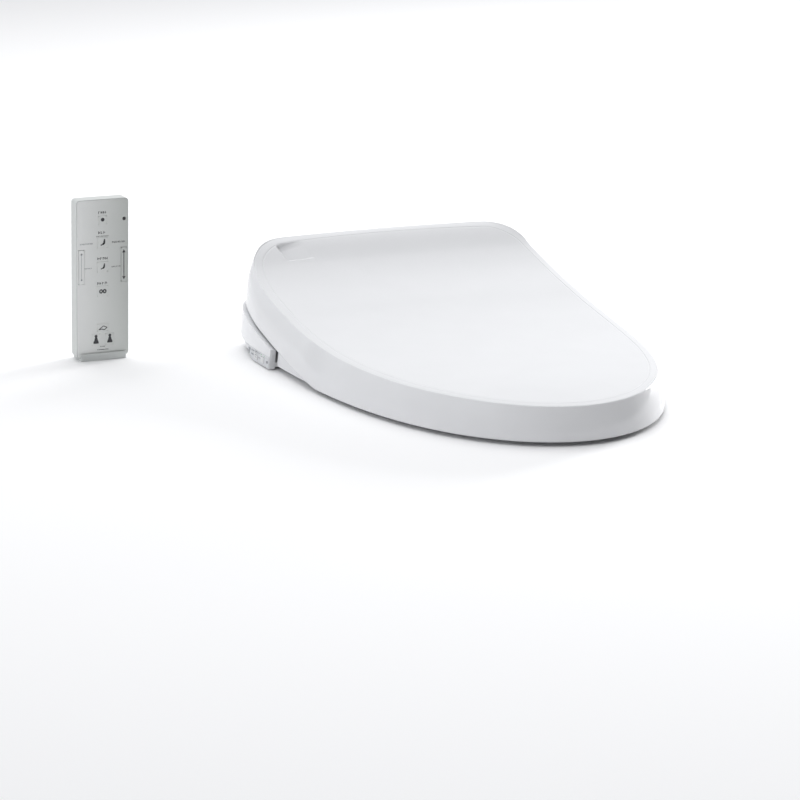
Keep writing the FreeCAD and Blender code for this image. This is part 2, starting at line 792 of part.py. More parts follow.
def case_screws():
    screws = []
    for x, y in screw_points():
        screw = fuse(cyl_z(x, y, screw_head_r, unit_floor_z - 2.2, unit_floor_z),
                     cyl_z(x, y, screw_r, unit_floor_z - 1.0, 15.0))
        screw = screw.cut(box(x - 2.4, x + 2.4, y - 0.5, y + 0.5, 0.0, unit_floor_z - 1.2))
        screw = screw.cut(box(x - 0.5, x + 0.5, y - 2.4, y + 2.4, 0.0, unit_floor_z - 1.2))
        screws.append(screw)
    return group(*screws)


def unit_cover():
    outer = cover_profile(0.0, 0.0, block_x)
    wide = [e for e in outer.Edges if e.BoundBox.XLength > block_x]
    front = [e for e in wide if abs(e.BoundBox.Center.y - unit_front_y) < 0.1 and e.BoundBox.Center.z > 40.0]
    outer = outer.makeFillet(9.0, front)
    inner = cover_profile(unit_wall, 30.0, block_x - unit_wall)
    body = outer.cut(inner)
    for x, y in screw_points():
        post = cyl_z(x, y, post_r, floor_z, 90.0).common(cover_profile(unit_wall * 0.5, 60.0, block_x - 1.0))
        body = body.fuse(post).cut(cyl_z(x, y, screw_r, 0.0, 15.0))
    body = body.cut(cyl_x(hinge_y, hinge_z, shaft_r, -block_x - 5.0, block_x + 5.0))
    body = body.cut(port_cut()).cut(outlet_cut(2.0))
    for x0, x1 in lens_spots:
        body = body.cut(window_block(x0, x1))
    return body.removeSplitter()


def window_block(x0, x1):
    """A lens let into the roof, as thick as it is let in."""
    slot = box(x0, x1, lens_y0, lens_y1, 30.0, 120.0)
    return slot.common(cover_profile(0.0, 0.0, block_x)).cut(cover_profile(lens_t, 30.0, block_x + 1.0))


def sensor_windows():
    return group(*[window_block(x0, x1) for x0, x1 in lens_spots])


def front_bezel():
    """The plate round the wand's port and the dryer's outlet."""
    y0 = unit_front_y - 3.0
    plate = box(dryer_x0 - 8.0, 24.0, y0, unit_front_y, 1.0, 38.0)
    along_y = [e for e in plate.Edges if e.BoundBox.YLength > 2.0]
    edges = [e for e in along_y if e.BoundBox.XLength < 0.1 and e.BoundBox.ZLength < 0.1]
    plate = plate.makeFillet(5.0, edges)
    plate = plate.cut(box(-port_half_width, port_half_width, y0 - 1.0, unit_front_y + 1.0,
                          -1.0, shutter_hinge_z + port_top_gap))
    plate = plate.cut(box(dryer_x0 - 0.4, dryer_x1 + 0.4, y0 - 1.0, unit_front_y + 1.0,
                          outlet_z0 - 0.4, outlet_z1 + 4.0))
    y = unit_front_y - flap_set
    pin_end = port_half_width + 1.4
    plate = plate.cut(cyl_x(y, shutter_hinge_z, flap_pin_r + fit_gap, -pin_end, pin_end))
    return plate.cut(cyl_x(y, outlet_z1 + outlet_rise, flap_pin_r + fit_gap, dryer_x0 - 2.0, dryer_x1 + 2.0))


def dryer_flap():
    y = unit_front_y - flap_set
    z = outlet_z1 + outlet_rise
    flap = box(dryer_x0, dryer_x1, y - flap_t / 2.0, y + flap_t / 2.0, outlet_z0, z)
    barrel = cyl_x(y, z, flap_barrel_r, dryer_x0, dryer_x1)
    pin = cyl_x(y, z, flap_pin_r, dryer_x0 - 1.8, dryer_x1 + 1.8)
    return fuse(flap, barrel, pin)


def cheek_block(y0, y1):
    """Room for a side cover: the strip between the outline and the base, under the lid's edge."""
    strip = outline_solid(cheek_inset).cut(outline_solid(base_inset - 0.1))
    strip = strip.common(below_skirt(cheek_gap))
    return strip.common(box(cheek_x0, far, y0, y1, 1.0, shelf_z))


def label_zone():
    return box(-far, 0.0, unit_front_y + 1.0, label_rear_y, label_z0, label_z1)


def side_button(index):
    y, z = button_spots[index]
    body = outline_solid(button_inset).cut(outline_solid(base_inset - 1.0))
    return body.common(box(-far, 0.0, y - button_w / 2, y + button_w / 2, z, z + button_h))


def side_button_power():
    return side_button(0)


def side_button_wash():
    return side_button(1)


def button_holes():
    g = button_gap
    return [box(-far, -100.0, y - button_w / 2 - g, y + button_w / 2 + g, z - g, z + button_h + g)
            for y, z in button_spots]


def release_spot(grow):
    return box(-far, -100.0, release_y0 - grow, release_y1 + grow, release_z0 - grow, release_z1 + grow)


def release_hole():
    return release_spot(button_gap)


def release_button():
    return outline_solid(release_inset).cut(outline_solid(base_inset + 1.0)).common(release_spot(0.0))


def side_cover_right():
    """The side cover at the sitter's right, which carries the label and its buttons."""
    body = mirror_x(cheek_block(unit_front_y, lid_rear_y - 8.0))
    for cutter in button_holes() + [release_hole()]:
        body = body.cut(cutter)
    return body


def side_cover_left():
    body = cheek_block(unit_front_y, lid_rear_y - 8.0)
    return body.cut(filter_hole()).cut(plug_hole())


def side_label():
    body = outline_solid(label_inset).cut(outline_solid(cheek_inset)).common(label_zone())
    for cutter in button_holes():
        body = body.cut(cutter)
    return body


def hinge_shafts():
    shaft = cyl_x(hinge_y, hinge_z, shaft_r, block_x - 12.0, hinge_x1)
    return group(shaft, mirror_x(shaft))


def hinge_dampers():
    """Rotary dampers in the cover's hump, on the inner end of each shaft."""
    x1 = block_x - 12.0
    body = cyl_x(hinge_y, hinge_z, hump_r - unit_wall - 0.5, x1 - 44.0, x1)
    body = fuse(body, cyl_x(hinge_y, hinge_z, 6.0, x1 - 50.0, x1 - 44.0))
    rear = cover_rear_y - unit_wall
    seat = box(x1 - 40.0, x1 - 4.0, rear - 6.0, rear, hinge_z - 12.0, hinge_z)
    body = fuse(body, seat)
    return group(body, mirror_x(body))


# ---------------------------------------------------------------- inside the unit
def inlet_hole():
    return cyl(inlet_x, 28.0, inlet_z, inlet_hole_r, 60.0, V(0, 1, 0))


def gland_hole():
    return cyl(gland_x, gland_y0 + gland_flange_t, gland_z, gland_r, 60.0, V(0, 1, 0))


def plug_hole():
    return cyl(plug_x0, plug_y, plug_z, plug_r + plug_gap, 80.0, V(1, 0, 0))


def filter_hole():
    return box(150.0, far, deo_y0 - clear, deo_y1 + clear, filter_z0 - clear, filter_z1 + clear)


def inlet_valve():
    """The solenoid valve, with the threaded stub for the supply hose."""
    body = box(valve_x0, valve_x1, valve_y0, valve_y1, floor_z, valve_top_z)
    coil = cyl_z(inlet_x - 4.0, 12.0, coil_r, valve_top_z, valve_top_z + coil_h)
    thread = cyl(inlet_x, thread_y0, inlet_z, thread_r, inlet_end_y - thread_y0, V(0, 1, 0))
    stub = cyl(inlet_x, stub_y0, inlet_z, stub_r, thread_y0 - stub_y0 + 1.0, V(0, 1, 0))
    body = fuse(body, coil, fuse(stub, thread))
    body = body.cut(cyl(inlet_x, 12.0, inlet_z, inlet_bore_r, 60.0, V(0, 1, 0)))
    return body.cut(cyl(plug_stem_x0 - 1.0, plug_y, plug_z, plug_stem_r, 20.0, V(1, 0, 0)))


def drain_plug():
    """The strainer plug, a knob flush with the side cover."""
    region = outline_solid(0.6)
    knob = cyl(plug_x0, plug_y, plug_z, plug_r, 40.0, V(1, 0, 0)).common(region)
    knob = fuse(knob, cyl(plug_stem_x0, plug_y, plug_z, plug_stem_r, 8.0, V(1, 0, 0)))
    slot = box(lid_rear_half_width - 9.0, far, plug_y - 8.0, plug_y + 8.0, plug_z - 1.0, plug_z + 1.0)
    slot = slot.cut(outline_solid(3.0))
    return knob.cut(slot)


def cord_gland():
    neck_y0 = gland_y0 + gland_flange_t - 0.5
    body = cyl(gland_x, gland_y0, gland_z, gland_flange_r, gland_flange_t, V(0, 1, 0))
    body = fuse(body, cyl(gland_x, neck_y0, gland_z, gland_r, gland_end_y - neck_y0, V(0, 1, 0)))
    return body.cut(cyl(gland_x, 20.0, gland_z, cord_r, 60.0, V(0, 1, 0)))


def heater_tank():
    body = box(tank_x0, tank_x1, tank_y0, tank_y1, floor_z, tank_z1)
    edges = [e for e in body.Edges if e.BoundBox.ZLength > 10.0]
    body = body.makeFillet(6.0, edges)
    i = tank_lid_inset
    lid_z1 = tank_z1 + tank_lid_t
    lid = box(tank_x0 + i, tank_x1 - i, tank_y0 + i, tank_y1 - i, tank_z1, lid_z1)
    return fuse(body, lid, cyl_z(50.0, -50.0, 4.0, lid_z1, lid_z1 + 5.0))


def water_pump():
    body = fuse(cyl_z(pump_x, pump_y, pump_r, floor_z, pump_z1),
                cyl_z(pump_x, pump_y, pump_r - 3.0, pump_z1, pump_z1 + 10.0))
    return fuse(body, cyl(tank_x1, pump_y, 20.0, pipe_r, 10.0, V(1, 0, 0)))


def vacuum_breaker():
    body = fuse(cyl_z(breaker_x, breaker_y, breaker_r, floor_z, breaker_z1),
                cyl_z(breaker_x, breaker_y, breaker_r - 3.0, breaker_z1, breaker_z1 + 8.0))
    return fuse(body, cyl(breaker_x, tank_y1, 24.0, pipe_r, 26.0, V(0, 1, 0)))


def water_hose():
    """The tube from the valve across to the vacuum breaker."""
    body = cyl_x(hose_y, hose_z, pipe_r, hose_bend_x, valve_x0)
    p = V(hose_bend_x, hose_y, hose_z)
    q = V(hose_bend_x - 10.0, hose_y - 8.0, hose_z)
    elbow = fuse(body, Part.makeSphere(pipe_r, p))
    tail = Part.makeCylinder(pipe_r, (q - p).Length, p, q - p)
    return fuse(elbow, tail).cut(cyl_z(breaker_x, breaker_y, breaker_r, 0.0, 60.0))


def control_board():
    y = main_board_y + main_board_t
    board = box(10.0, 104.0, main_board_y, y, floor_z, main_board_z1)
    parts = [box(18.0, 34.0, y, 28.0, 30.0, 46.0), box(44.0, 60.0, y, 32.0, 20.0, 34.0)]
    parts += [cyl(76.0 + 12.0 * i, y, 50.0, 4.5, 10.0, V(0, 1, 0)) for i in range(2)]
    return fuse(board, *parts)


def power_module():
    body = box(power_x0, power_x1, power_y0, power_y1, floor_z, power_z1)
    fins = []
    for i in range(6):
        x = power_x0 + 1.0 + fin_pitch * i
        fins.append(box(x, x + fin_t, power_y0 + 2.0, power_y1 - 2.0, power_z1, power_z1 + fin_h))
    return fuse(body, *fins)


def dryer_housing():
    outer = fuse(cyl_x(dryer_fan_y, dryer_fan_z, dryer_fan_r, dryer_x0, dryer_x1),
                 box(dryer_x0, dryer_x1, unit_inner_y, dryer_fan_y, outlet_z0, outlet_z1 + 1.0))
    w = duct_wall
    inner = fuse(cyl_x(dryer_fan_y, dryer_fan_z, dryer_fan_r - w, dryer_x0 + w, dryer_x1 - w),
                 box(dryer_x0 + w, dryer_x1 - w, unit_inner_y - 1.0, dryer_fan_y - 4.0,
                     outlet_z0 + w, outlet_z1 + 1.0 - w))
    intake = cyl_x(dryer_fan_y, dryer_fan_z, duct_intake_r, dryer_x1 - w - 1.0, dryer_x1 + 1.0)
    body = outer.cut(inner).cut(intake)
    foot = box(dryer_x0, dryer_x1, dryer_fan_y - 12.0, dryer_fan_y + 8.0, 11.0, 24.0)
    foot = foot.cut(cyl_x(dryer_fan_y, dryer_fan_z, dryer_fan_r - w, dryer_x0 - 1.0, dryer_x1 + 1.0))
    leg = box(-50.0, -46.0, dryer_fan_y - 8.0, dryer_fan_y + 8.0, floor_z, 24.0)
    link = box(dryer_x1 - 1.0, -46.0, dryer_fan_y - 8.0, dryer_fan_y + 8.0, 20.0, 24.0)
    link = link.cut(cyl_x(dryer_fan_y, dryer_fan_z, dryer_fan_r - w, dryer_x0 - 1.0, dryer_x1 + 1.0))
    pin = cyl_x(dryer_fan_y, dryer_fan_z, 2.0, dryer_x0 + w - 0.5, dryer_x1 - 7.0)
    return fuse(body, foot, leg, link, pin)


def fan_rotor(x0, x1, y, z, r, blades):
    """A squirrel-cage rotor: a disc and hub, with blades held by a ring."""
    body = fuse(cyl_x(y, z, r, x0, x0 + 2.0), cyl_x(y, z, 5.0, x0, x1 - 2.0))
    ring = ring_x(y, z, r, r - 4.5, x1 - 1.6, x1)
    blade_list = []
    for k in range(blades):
        blade = box(x0 + 1.0, x1 - 0.8, -0.5, 0.5, r - 4.5, r - 0.4)
        blade.rotate(V(0, 0, r - 2.5), V(1, 0, 0), 25.0)
        blade.rotate(V(0, 0, 0), V(1, 0, 0), 360.0 * k / blades)
        blade.translate(V(0, y, z))
        blade_list.append(blade)
    body = body.multiFuse([ring] + blade_list)
    return body.cut(cyl_x(y, z, 2.0 + fit_gap, x0 - 1.0, x1 + 1.0)).removeSplitter()


def dryer_rotor():
    return fan_rotor(dryer_x0 + duct_wall + 1.0, dryer_x1 - duct_wall - 2.0,
                     dryer_fan_y, dryer_fan_z, dryer_fan_r - duct_wall - fan_gap, 18)


def dryer_heater():
    """A mica frame of heating ribs across the duct."""
    w = duct_wall
    x0 = dryer_x0 + w
    x1 = dryer_x1 - w
    z0 = outlet_z0 + w
    z1 = outlet_z1 + 1.0 - w
    body = box(x0, x1, -62.0, -44.0, z0, z1).cut(box(x0 + 2.0, x1 - 2.0, -63.0, -43.0, z0 + 2.0, z1 - 2.0))
    ribs = [box(x0 + 1.0, x1 - 1.0, -60.0 + 4.0 * i, -59.0 + 4.0 * i, z0 + 6.0, z0 + 11.0) for i in range(4)]
    return body.multiFuse(ribs).removeSplitter()


def deodorizer_housing():
    outer = box(deo_x0, deo_x1, deo_y0, deo_y1, floor_z, deo_z1)
    inner = cyl_x(deo_fan_y, deo_fan_z, deo_fan_r, deo_x0 + 2.0, deo_x1 - 2.0)
    port = box(deo_x1 - 3.0, deo_x1 + 1.0, deo_fan_y - 8.0, deo_fan_y + 8.0, filter_z0 + 4.0, filter_z1)
    pin = cyl_x(deo_fan_y, deo_fan_z, 2.0, deo_x0 + 1.0, deo_x1 - 6.0)
    outlet = box(deo_x0 + 4.0, deo_x1 - 4.0, deo_y0 - 1.0, deo_fan_y, deo_fan_z + 4.0, deo_fan_z + 12.0)
    return fuse(outer.cut(inner).cut(port).cut(outlet), pin)


def deodorizer_rotor():
    return fan_rotor(deo_x0 + 3.0, deo_x1 - 4.0, deo_fan_y, deo_fan_z, deo_fan_r - 3.0, 12)


def deodorizer_filter():
    """The carbon cartridge, pulled out through the left side cover."""
    x0 = deo_x1 + 6.0
    body = box(x0, far, deo_y0, deo_y1, filter_z0, filter_z1).common(outline_solid(0.6))
    hollow = box(x0 + 2.0, block_x + 50.0, deo_y0 + 2.0, deo_y1 - 2.0, filter_z0 + 2.0, filter_z1 + 1.0)
    body = body.cut(hollow)
    ribs = []
    for i in range(5):
        x = x0 + 8.0 + 7.0 * i
        ribs.append(box(x, x + 2.0, deo_y0 + 1.0, deo_y1 - 1.0, filter_z0 + 1.0, filter_z1 - 2.0))
    body = body.multiFuse(ribs).removeSplitter()
    grip = box(lid_half_width - 16.0, far, deo_y0 + 9.0, deo_y1 - 9.0, filter_z1 - 7.0, filter_z1 + 1.0)
    return body.cut(grip.cut(outline_solid(3.0)))


def filter_rail():
    """Two guides on the base floor, which carry the filter cartridge."""
    x0 = deo_x1 + 6.0
    x1 = lid_half_width - base_inset - unit_wall - 12.0
    floor_rail = box(x0, x1, deo_y0 + 6.0, deo_y1 - 6.0, floor_z, filter_z0 - clear)
    return floor_rail


# ---------------------------------------------------------------- base plate and feet
def base_plate():
    upper = box(-plate_half_width, plate_half_width, plate_front_y + clear, plate_rear_y, 1.6, plate_t)
    lower = box(-plate_half_width + 5.0, plate_half_width - 5.0, plate_front_y + clear, plate_rear_y, 0.0, 1.7)
    body = fuse(upper, lower)
    half = slot_length / 2.0 - slot_half_width
    for side in (-1.0, 1.0):
        x = side * slot_spacing / 2.0
        slot = fuse(box(x - half, x + half, -slot_half_width, slot_half_width, -1.0, 4.0),
                    cyl_z(x - half, 0.0, slot_half_width, -1.0, 4.0),
                    cyl_z(x + half, 0.0, slot_half_width, -1.0, 4.0))
        body = body.cut(slot)
    body = body.cut(box(-26.0, 26.0, plate_rear_y - 18.0, plate_rear_y + 1.0, -1.0, 4.0))
    return body


def unit_feet():
    """Rubber pads under the unit."""
    pads = []
    for x, y in foot_spots:
        pad = box(x - foot_half_x, x + foot_half_x, y - foot_half_y, y + foot_half_y, 0.0, unit_floor_z)
        edges = [e for e in pad.Edges if e.BoundBox.ZLength > 2.0]
        pad = pad.makeFillet(5.0, edges)
        pads += [pad, mirror_x(pad)]
    return group(*pads)


# ---------------------------------------------------------------- handset
def remote_box(x0, x1, d0, d1, z0, z1):
    """A block placed from the handset's own corner: x from its middle, d back from its face."""
    return box(remote_x + x0, remote_x + x1, remote_y + d0, remote_y + d1, remote_lift + z0, remote_lift + z1)


def rounded_slab(half_w, d0, d1, z0, z1, r):
    slab = remote_box(-half_w, half_w, d0, d1, z0, z1)
    edges = [e for e in slab.Edges if e.BoundBox.YLength > (d1 - d0) * 0.9]
    return slab.makeFillet(r, edges)


remote_controls = {
    "remote_stop_button": (0.0, 153.0, 9.0, 9.0),
    "remote_rear_button": (0.0, 128.0, 12.0, 11.0),
    "remote_soft_button": (0.0, 101.0, 12.0, 11.0),
    "remote_front_button": (0.0, 74.0, 12.0, 11.0),
    "remote_lid_button": (0.0, 33.0, 12.0, 8.0),
    "remote_flush_button_large": (-8.0, 19.5, 9.0, 12.0),
    "remote_flush_button_small": (8.0, 19.5, 9.0, 12.0),
    "remote_pressure_rocker": (-24.5, 102.0, 6.0, 38.0),
    "remote_position_rocker": (24.5, 102.0, 6.0, 38.0),
}


def remote_control(name, grow=0.0):
    x, z, w, h = remote_controls[name]
    w = w / 2.0 + grow
    h = h / 2.0 + grow
    return remote_box(x - w, x + w, -button_proud, face_t + button_depth, z - h, z + h)


def remote_button(name):
    body = remote_control(name)
    edges = [e for e in body.Edges if e.BoundBox.YLength > 1.0]
    return body.makeFillet(button_corner_r, edges)


def face_slab(d0):
    half = remote_w / 2.0 - face_inset
    return rounded_slab(half, d0, face_t, face_inset, remote_h - face_inset, face_corner_r)


def remote_face():
    body = face_slab(0.0)
    for name in remote_controls:
        body = body.cut(remote_control(name, button_gap).common(remote_box(-40, 40, -2, 6, 0, 200)))
    return body.cut(remote_led_hole())


def remote_led_hole():
    x = remote_x + remote_w / 2.0 - lens_inset
    return cyl(x, remote_y - 1.0, remote_lift + lens_z, lens_r, 8.0, V(0, 1, 0))


def remote_lens():
    x = remote_x + remote_w / 2.0 - lens_inset
    return cyl(x, remote_y + 0.2, remote_lift + lens_z, lens_r, board_d0 - 0.2, V(0, 1, 0))


def remote_case():
    body = rounded_slab(remote_w / 2.0, 0.4, remote_d, 0.0, remote_h, case_corner_r)
    flat = [e for e in body.Edges if e.BoundBox.YLength < 0.01]
    edges = [e for e in flat if abs(e.BoundBox.YMax - remote_y - remote_d) < 0.01]
    body = body.makeFillet(1.8, edges)
    w = remote_wall
    body = body.cut(face_slab(-1.0))
    body = body.cut(rounded_slab(remote_w / 2.0 - w, 0.0, remote_d - w, w, remote_h - w, 2.4))
    body = body.cut(remote_box(-16.3, 16.3, remote_d - w - 1.0, remote_d + 1.0, 40.0, 118.3))
    ledge = remote_box(-20.0, 20.0, remote_d - w - 1.6, remote_d - w, 36.0, 122.0)
    ledge = ledge.cut(remote_box(-14.0, 14.0, 0.0, remote_d, 44.0, 114.0))
    return fuse(body, ledge)


def battery_cover():
    body = remote_box(-16.0, 16.0, remote_d - remote_wall, remote_d - 0.2, 52.0, 118.0)
    for k in range(4):
        body = body.cut(remote_box(-8.0, 8.0, remote_d - 0.7, remote_d + 1.0, 60.0 + 3.0 * k, 61.2 + 3.0 * k))
    return body


def remote_board():
    edge = remote_wall + board_gap
    half = remote_w / 2.0 - edge
    return remote_box(-half, half, board_d0, board_d0 + board_t, edge, remote_h - edge)


def remote_batteries():
    y = remote_y + board_d0 + board_t + cell_r
    z0 = remote_lift + cell_z
    cells = []
    for x in (remote_x - cell_x, remote_x + cell_x):
        cell = cyl_z(x, y, cell_r, z0, z0 + cell_length)
        cells.append(fuse(cell, cyl_z(x, y, 1.6, z0 + cell_length, z0 + cell_length + 1.0)))
    return group(*cells)


def remote_holder():
    """The wall holder that the handset stands in."""
    half = remote_w / 2.0 - holder_inset
    y0 = remote_y - holder_gap - 2.2
    y1 = remote_y + remote_d + holder_gap + holder_t
    back = box(remote_x - half, remote_x + half, y1 - holder_t, y1, 0.0, holder_back_z)
    ledge = box(remote_x - half, remote_x + half, y0, y1, 0.0, holder_t)
    lip = box(remote_x - half, remote_x + half, y0, y0 + 1.8, 0.0, holder_t + holder_lip_z)
    body = fuse(back, ledge, lip)
    edges = [e for e in body.Edges if e.BoundBox.YLength > holder_t * 0.9 and e.BoundBox.ZMin > 100.0]
    return body.makeFillet(8.0, edges)


# ---------------------------------------------------------------- all the nodes
def base_with_rail():
    return fuse(unit_base(), filter_rail())


nodes = {
    "base_plate": base_plate,
    "unit_feet": unit_feet,
    "unit_base": base_with_rail,
    "unit_cover": unit_cover,
    "front_bezel": front_bezel,
    "side_cover_right": side_cover_right,
    "side_cover_left": side_cover_left,
    "side_label": side_label,
    "hinge_shafts": hinge_shafts,
    "hinge_dampers": hinge_dampers,
    "inlet_valve": inlet_valve,
    "drain_plug": drain_plug,
    "cord_gland": cord_gland,
    "heater_tank": heater_tank,
    "water_pump": water_pump,
    "vacuum_breaker": vacuum_breaker,
    "water_hose": water_hose,
    "wand_guide": wand_guide,
    "wand": wand,
    "wand_tip": wand_tip,
    "wand_pinion": wand_pinion,
    "wand_motor": wand_motor,
    "wand_shutter": wand_shutter,
    "dryer_housing": dryer_housing,
    "dryer_rotor": dryer_rotor,
    "dryer_heater": dryer_heater,
    "dryer_flap": dryer_flap,
    "deodorizer_housing": deodorizer_housing,
    "deodorizer_rotor": deodorizer_rotor,
    "deodorizer_filter": deodorizer_filter,
    "control_board": control_board,
    "power_module": power_module,
    "case_screws": case_screws,
    "sensor_windows": sensor_windows,
    "release_button": release_button,
    "side_button_power": side_button_power,
    "side_button_wash": side_button_wash,
    "seat_top": seat_top,
    "seat_bottom": seat_bottom,
    "seat_heater": seat_heater,
    "seat_bumpers": seat_bumpers,
    "hinge_bushes": hinge_bushes,
    "lid_shell": lid_shell,
    "lid_bumpers": lid_bumpers,
    "remote_holder": remote_holder,
    "remote_face": remote_face,
    "remote_case": remote_case,
    "remote_board": remote_board,
    "remote_batteries": remote_batteries,
    "remote_lens": remote_lens,
    "battery_cover": battery_cover,
}
nodes.update({name: functools.partial(remote_button, name) for name in remote_controls})

os.makedirs("parts", exist_ok=True)
for node, make in nodes.items():
    shape = make()
    if not shape.isValid():
        raise ValueError(node + " is not a valid solid")
    shape.exportStep("parts/" + node + ".step")
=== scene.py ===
import json
import math

import bmesh
import bpy
import numpy as np
from mathutils import Matrix, Vector

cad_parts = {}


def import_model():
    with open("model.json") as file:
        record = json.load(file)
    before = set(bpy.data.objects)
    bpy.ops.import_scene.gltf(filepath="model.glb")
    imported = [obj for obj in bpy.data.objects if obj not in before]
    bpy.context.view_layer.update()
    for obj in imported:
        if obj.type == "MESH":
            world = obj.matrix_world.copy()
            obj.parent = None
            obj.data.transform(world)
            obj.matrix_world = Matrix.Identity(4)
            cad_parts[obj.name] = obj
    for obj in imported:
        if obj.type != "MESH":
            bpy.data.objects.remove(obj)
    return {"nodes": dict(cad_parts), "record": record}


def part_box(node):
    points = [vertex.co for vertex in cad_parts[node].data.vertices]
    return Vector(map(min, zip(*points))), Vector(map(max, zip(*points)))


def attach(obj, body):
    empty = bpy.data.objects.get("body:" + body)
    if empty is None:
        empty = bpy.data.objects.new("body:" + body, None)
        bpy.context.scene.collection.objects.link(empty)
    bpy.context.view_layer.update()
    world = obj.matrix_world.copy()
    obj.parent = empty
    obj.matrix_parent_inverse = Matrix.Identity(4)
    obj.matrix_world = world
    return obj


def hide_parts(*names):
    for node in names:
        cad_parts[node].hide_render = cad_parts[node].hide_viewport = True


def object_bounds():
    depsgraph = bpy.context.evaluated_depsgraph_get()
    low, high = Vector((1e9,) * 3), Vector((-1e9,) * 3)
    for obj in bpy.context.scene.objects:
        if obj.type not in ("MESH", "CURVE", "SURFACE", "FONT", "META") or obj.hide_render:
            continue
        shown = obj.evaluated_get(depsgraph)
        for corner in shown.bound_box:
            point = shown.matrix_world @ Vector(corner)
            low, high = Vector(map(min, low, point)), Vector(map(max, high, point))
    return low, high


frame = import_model()
cad_box = [list(corner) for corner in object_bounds()]
MM = 0.001

# ---------------------------------------------------------------- sizes, in millimetres
lid_low, lid_high = (Vector(corner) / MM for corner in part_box("lid_shell"))
# lid outline
half_width = lid_high.x - 3.0
front_y = lid_low.y + 0.8
wide_y = -51.5
rear_y = 58.0
rear_taper = 20.0
corner_r = 43.0
rear_bow = 8.7
round_x = 1.96
round_y = 2.9
bow_span = 60.0
# lid section
draft = 0.075
wall = 3.0
lean = 5.2
lean_span = 30.0
edge_a = 2.2
edge_b = 1.5
border_w = 6.6
border_rise = 0.7
groove_w = 1.4
groove_depth = 0.28
crown = 2.2
spine_front_y = -330.0
spine_rear_y = -70.0
lip_rise = 1.1
inner_corner = 5.0
inner_corner_in = 2.0
# finger scoop
scoop_depth = 7.0
scoop_x = 139.0
scoop_width = 36.0
scoop_slant = 0.25
scoop_front_y = 7.0
scoop_length = 28.0
# heights along the lid, and its lower edge
top_points = ((-501, 39.0), (-400, 41.1), (-300, 42.5), (-200, 47.6),
              (-100, 61.9), (0, 91.5), (42, 116.5), (70, 119.5))
skirt_z = 4.0
skirt_rise = 56.0
skirt_rise_y = -192.0
skirt_rise_power = 1.13
rear_opening_x = 155.0
rear_opening_y = 30.0
rear_lip_z = 103.0
opening_margin = 4.0
opening_fade = 6.0
# hinge lugs
hinge_y = 36.0
hinge_z = 88.0
shaft_r = 4.05
lug_r = 10.0
lug_x0 = 137.0
lug_x1 = 145.0
lug_front = 6.0
lug_top = 24.0
lug_sunk = 1.5
# lid pads and control seals
seat_top_points = ((-501, 29.5), (-400, 31.5), (-300, 33.0), (-200, 37.5), (-95, 47.0))
pad_r = 6.0
pad_gap = 0.3
seal_inner = 0.03
seal_outer = 0.33
seal_corner_r = 1.2
seal_depth = 1.0
seal_sunk = 0.02
# printed marks and the plates under them
print_lift = 0.01
label_lift = 0.02
label_nose_in = 22.0
label_nose_span = 430.0
label_nose_power = 2.2
plate_y = 40.02
plate_print_y = 40.14
plate_wide, plate_tall, plate_mid = 64.0, 20.0, 60.0
plate_corner_r = 3.0
# threads of the inlet
thread_x = 140.0
thread_z = 22.0
thread_root_r = 10.3
thread_pitch = 1.8
thread_turns = 7


# ---------------------------------------------------------------- materials
def node_tree(name):
    """A new material with its node tree and main shader."""
    mat = bpy.data.materials.new(name)
    mat.use_nodes = True
    tree = mat.node_tree
    shader = tree.nodes["Principled BSDF"]
    return mat, tree, shader


def noise(tree, coords, scale, detail=3.0, rough=0.5):
    """The level of a noise texture, for colour, gloss or height."""
    node = tree.nodes.new("ShaderNodeTexNoise")
    node.inputs["Scale"].default_value = scale
    node.inputs["Detail"].default_value = detail
    node.inputs["Roughness"].default_value = rough
    tree.links.new(coords, node.inputs["Vector"])
    return node.outputs["Fac"]


def remap(tree, value, low, high, source=(0.3, 0.7)):
    """A value that runs from low to high while its input runs over source."""
    node = tree.nodes.new("ShaderNodeMapRange")
    node.inputs["From Min"].default_value = source[0]
    node.inputs["From Max"].default_value = source[1]
    node.inputs["To Min"].default_value = low
    node.inputs["To Max"].default_value = high
    tree.links.new(value, node.inputs["Value"])
    return node.outputs["Result"]


def mix_colour(tree, factor, a, b):
    """A node that mixes colour a into colour b by the factor."""
    node = tree.nodes.new("ShaderNodeMix")
    node.data_type = "RGBA"
    node.inputs["A"].default_value = (*a, 1.0)
    node.inputs["B"].default_value = (*b, 1.0)
    tree.links.new(factor, node.inputs["Factor"])
    return node


def stretched(tree, coords, scale):
    """Coordinates scaled by axis, for a brushed grain."""
    node = tree.nodes.new("ShaderNodeMapping")
    node.inputs["Scale"].default_value = scale
    tree.links.new(coords, node.inputs["Vector"])
    return node.outputs["Vector"]


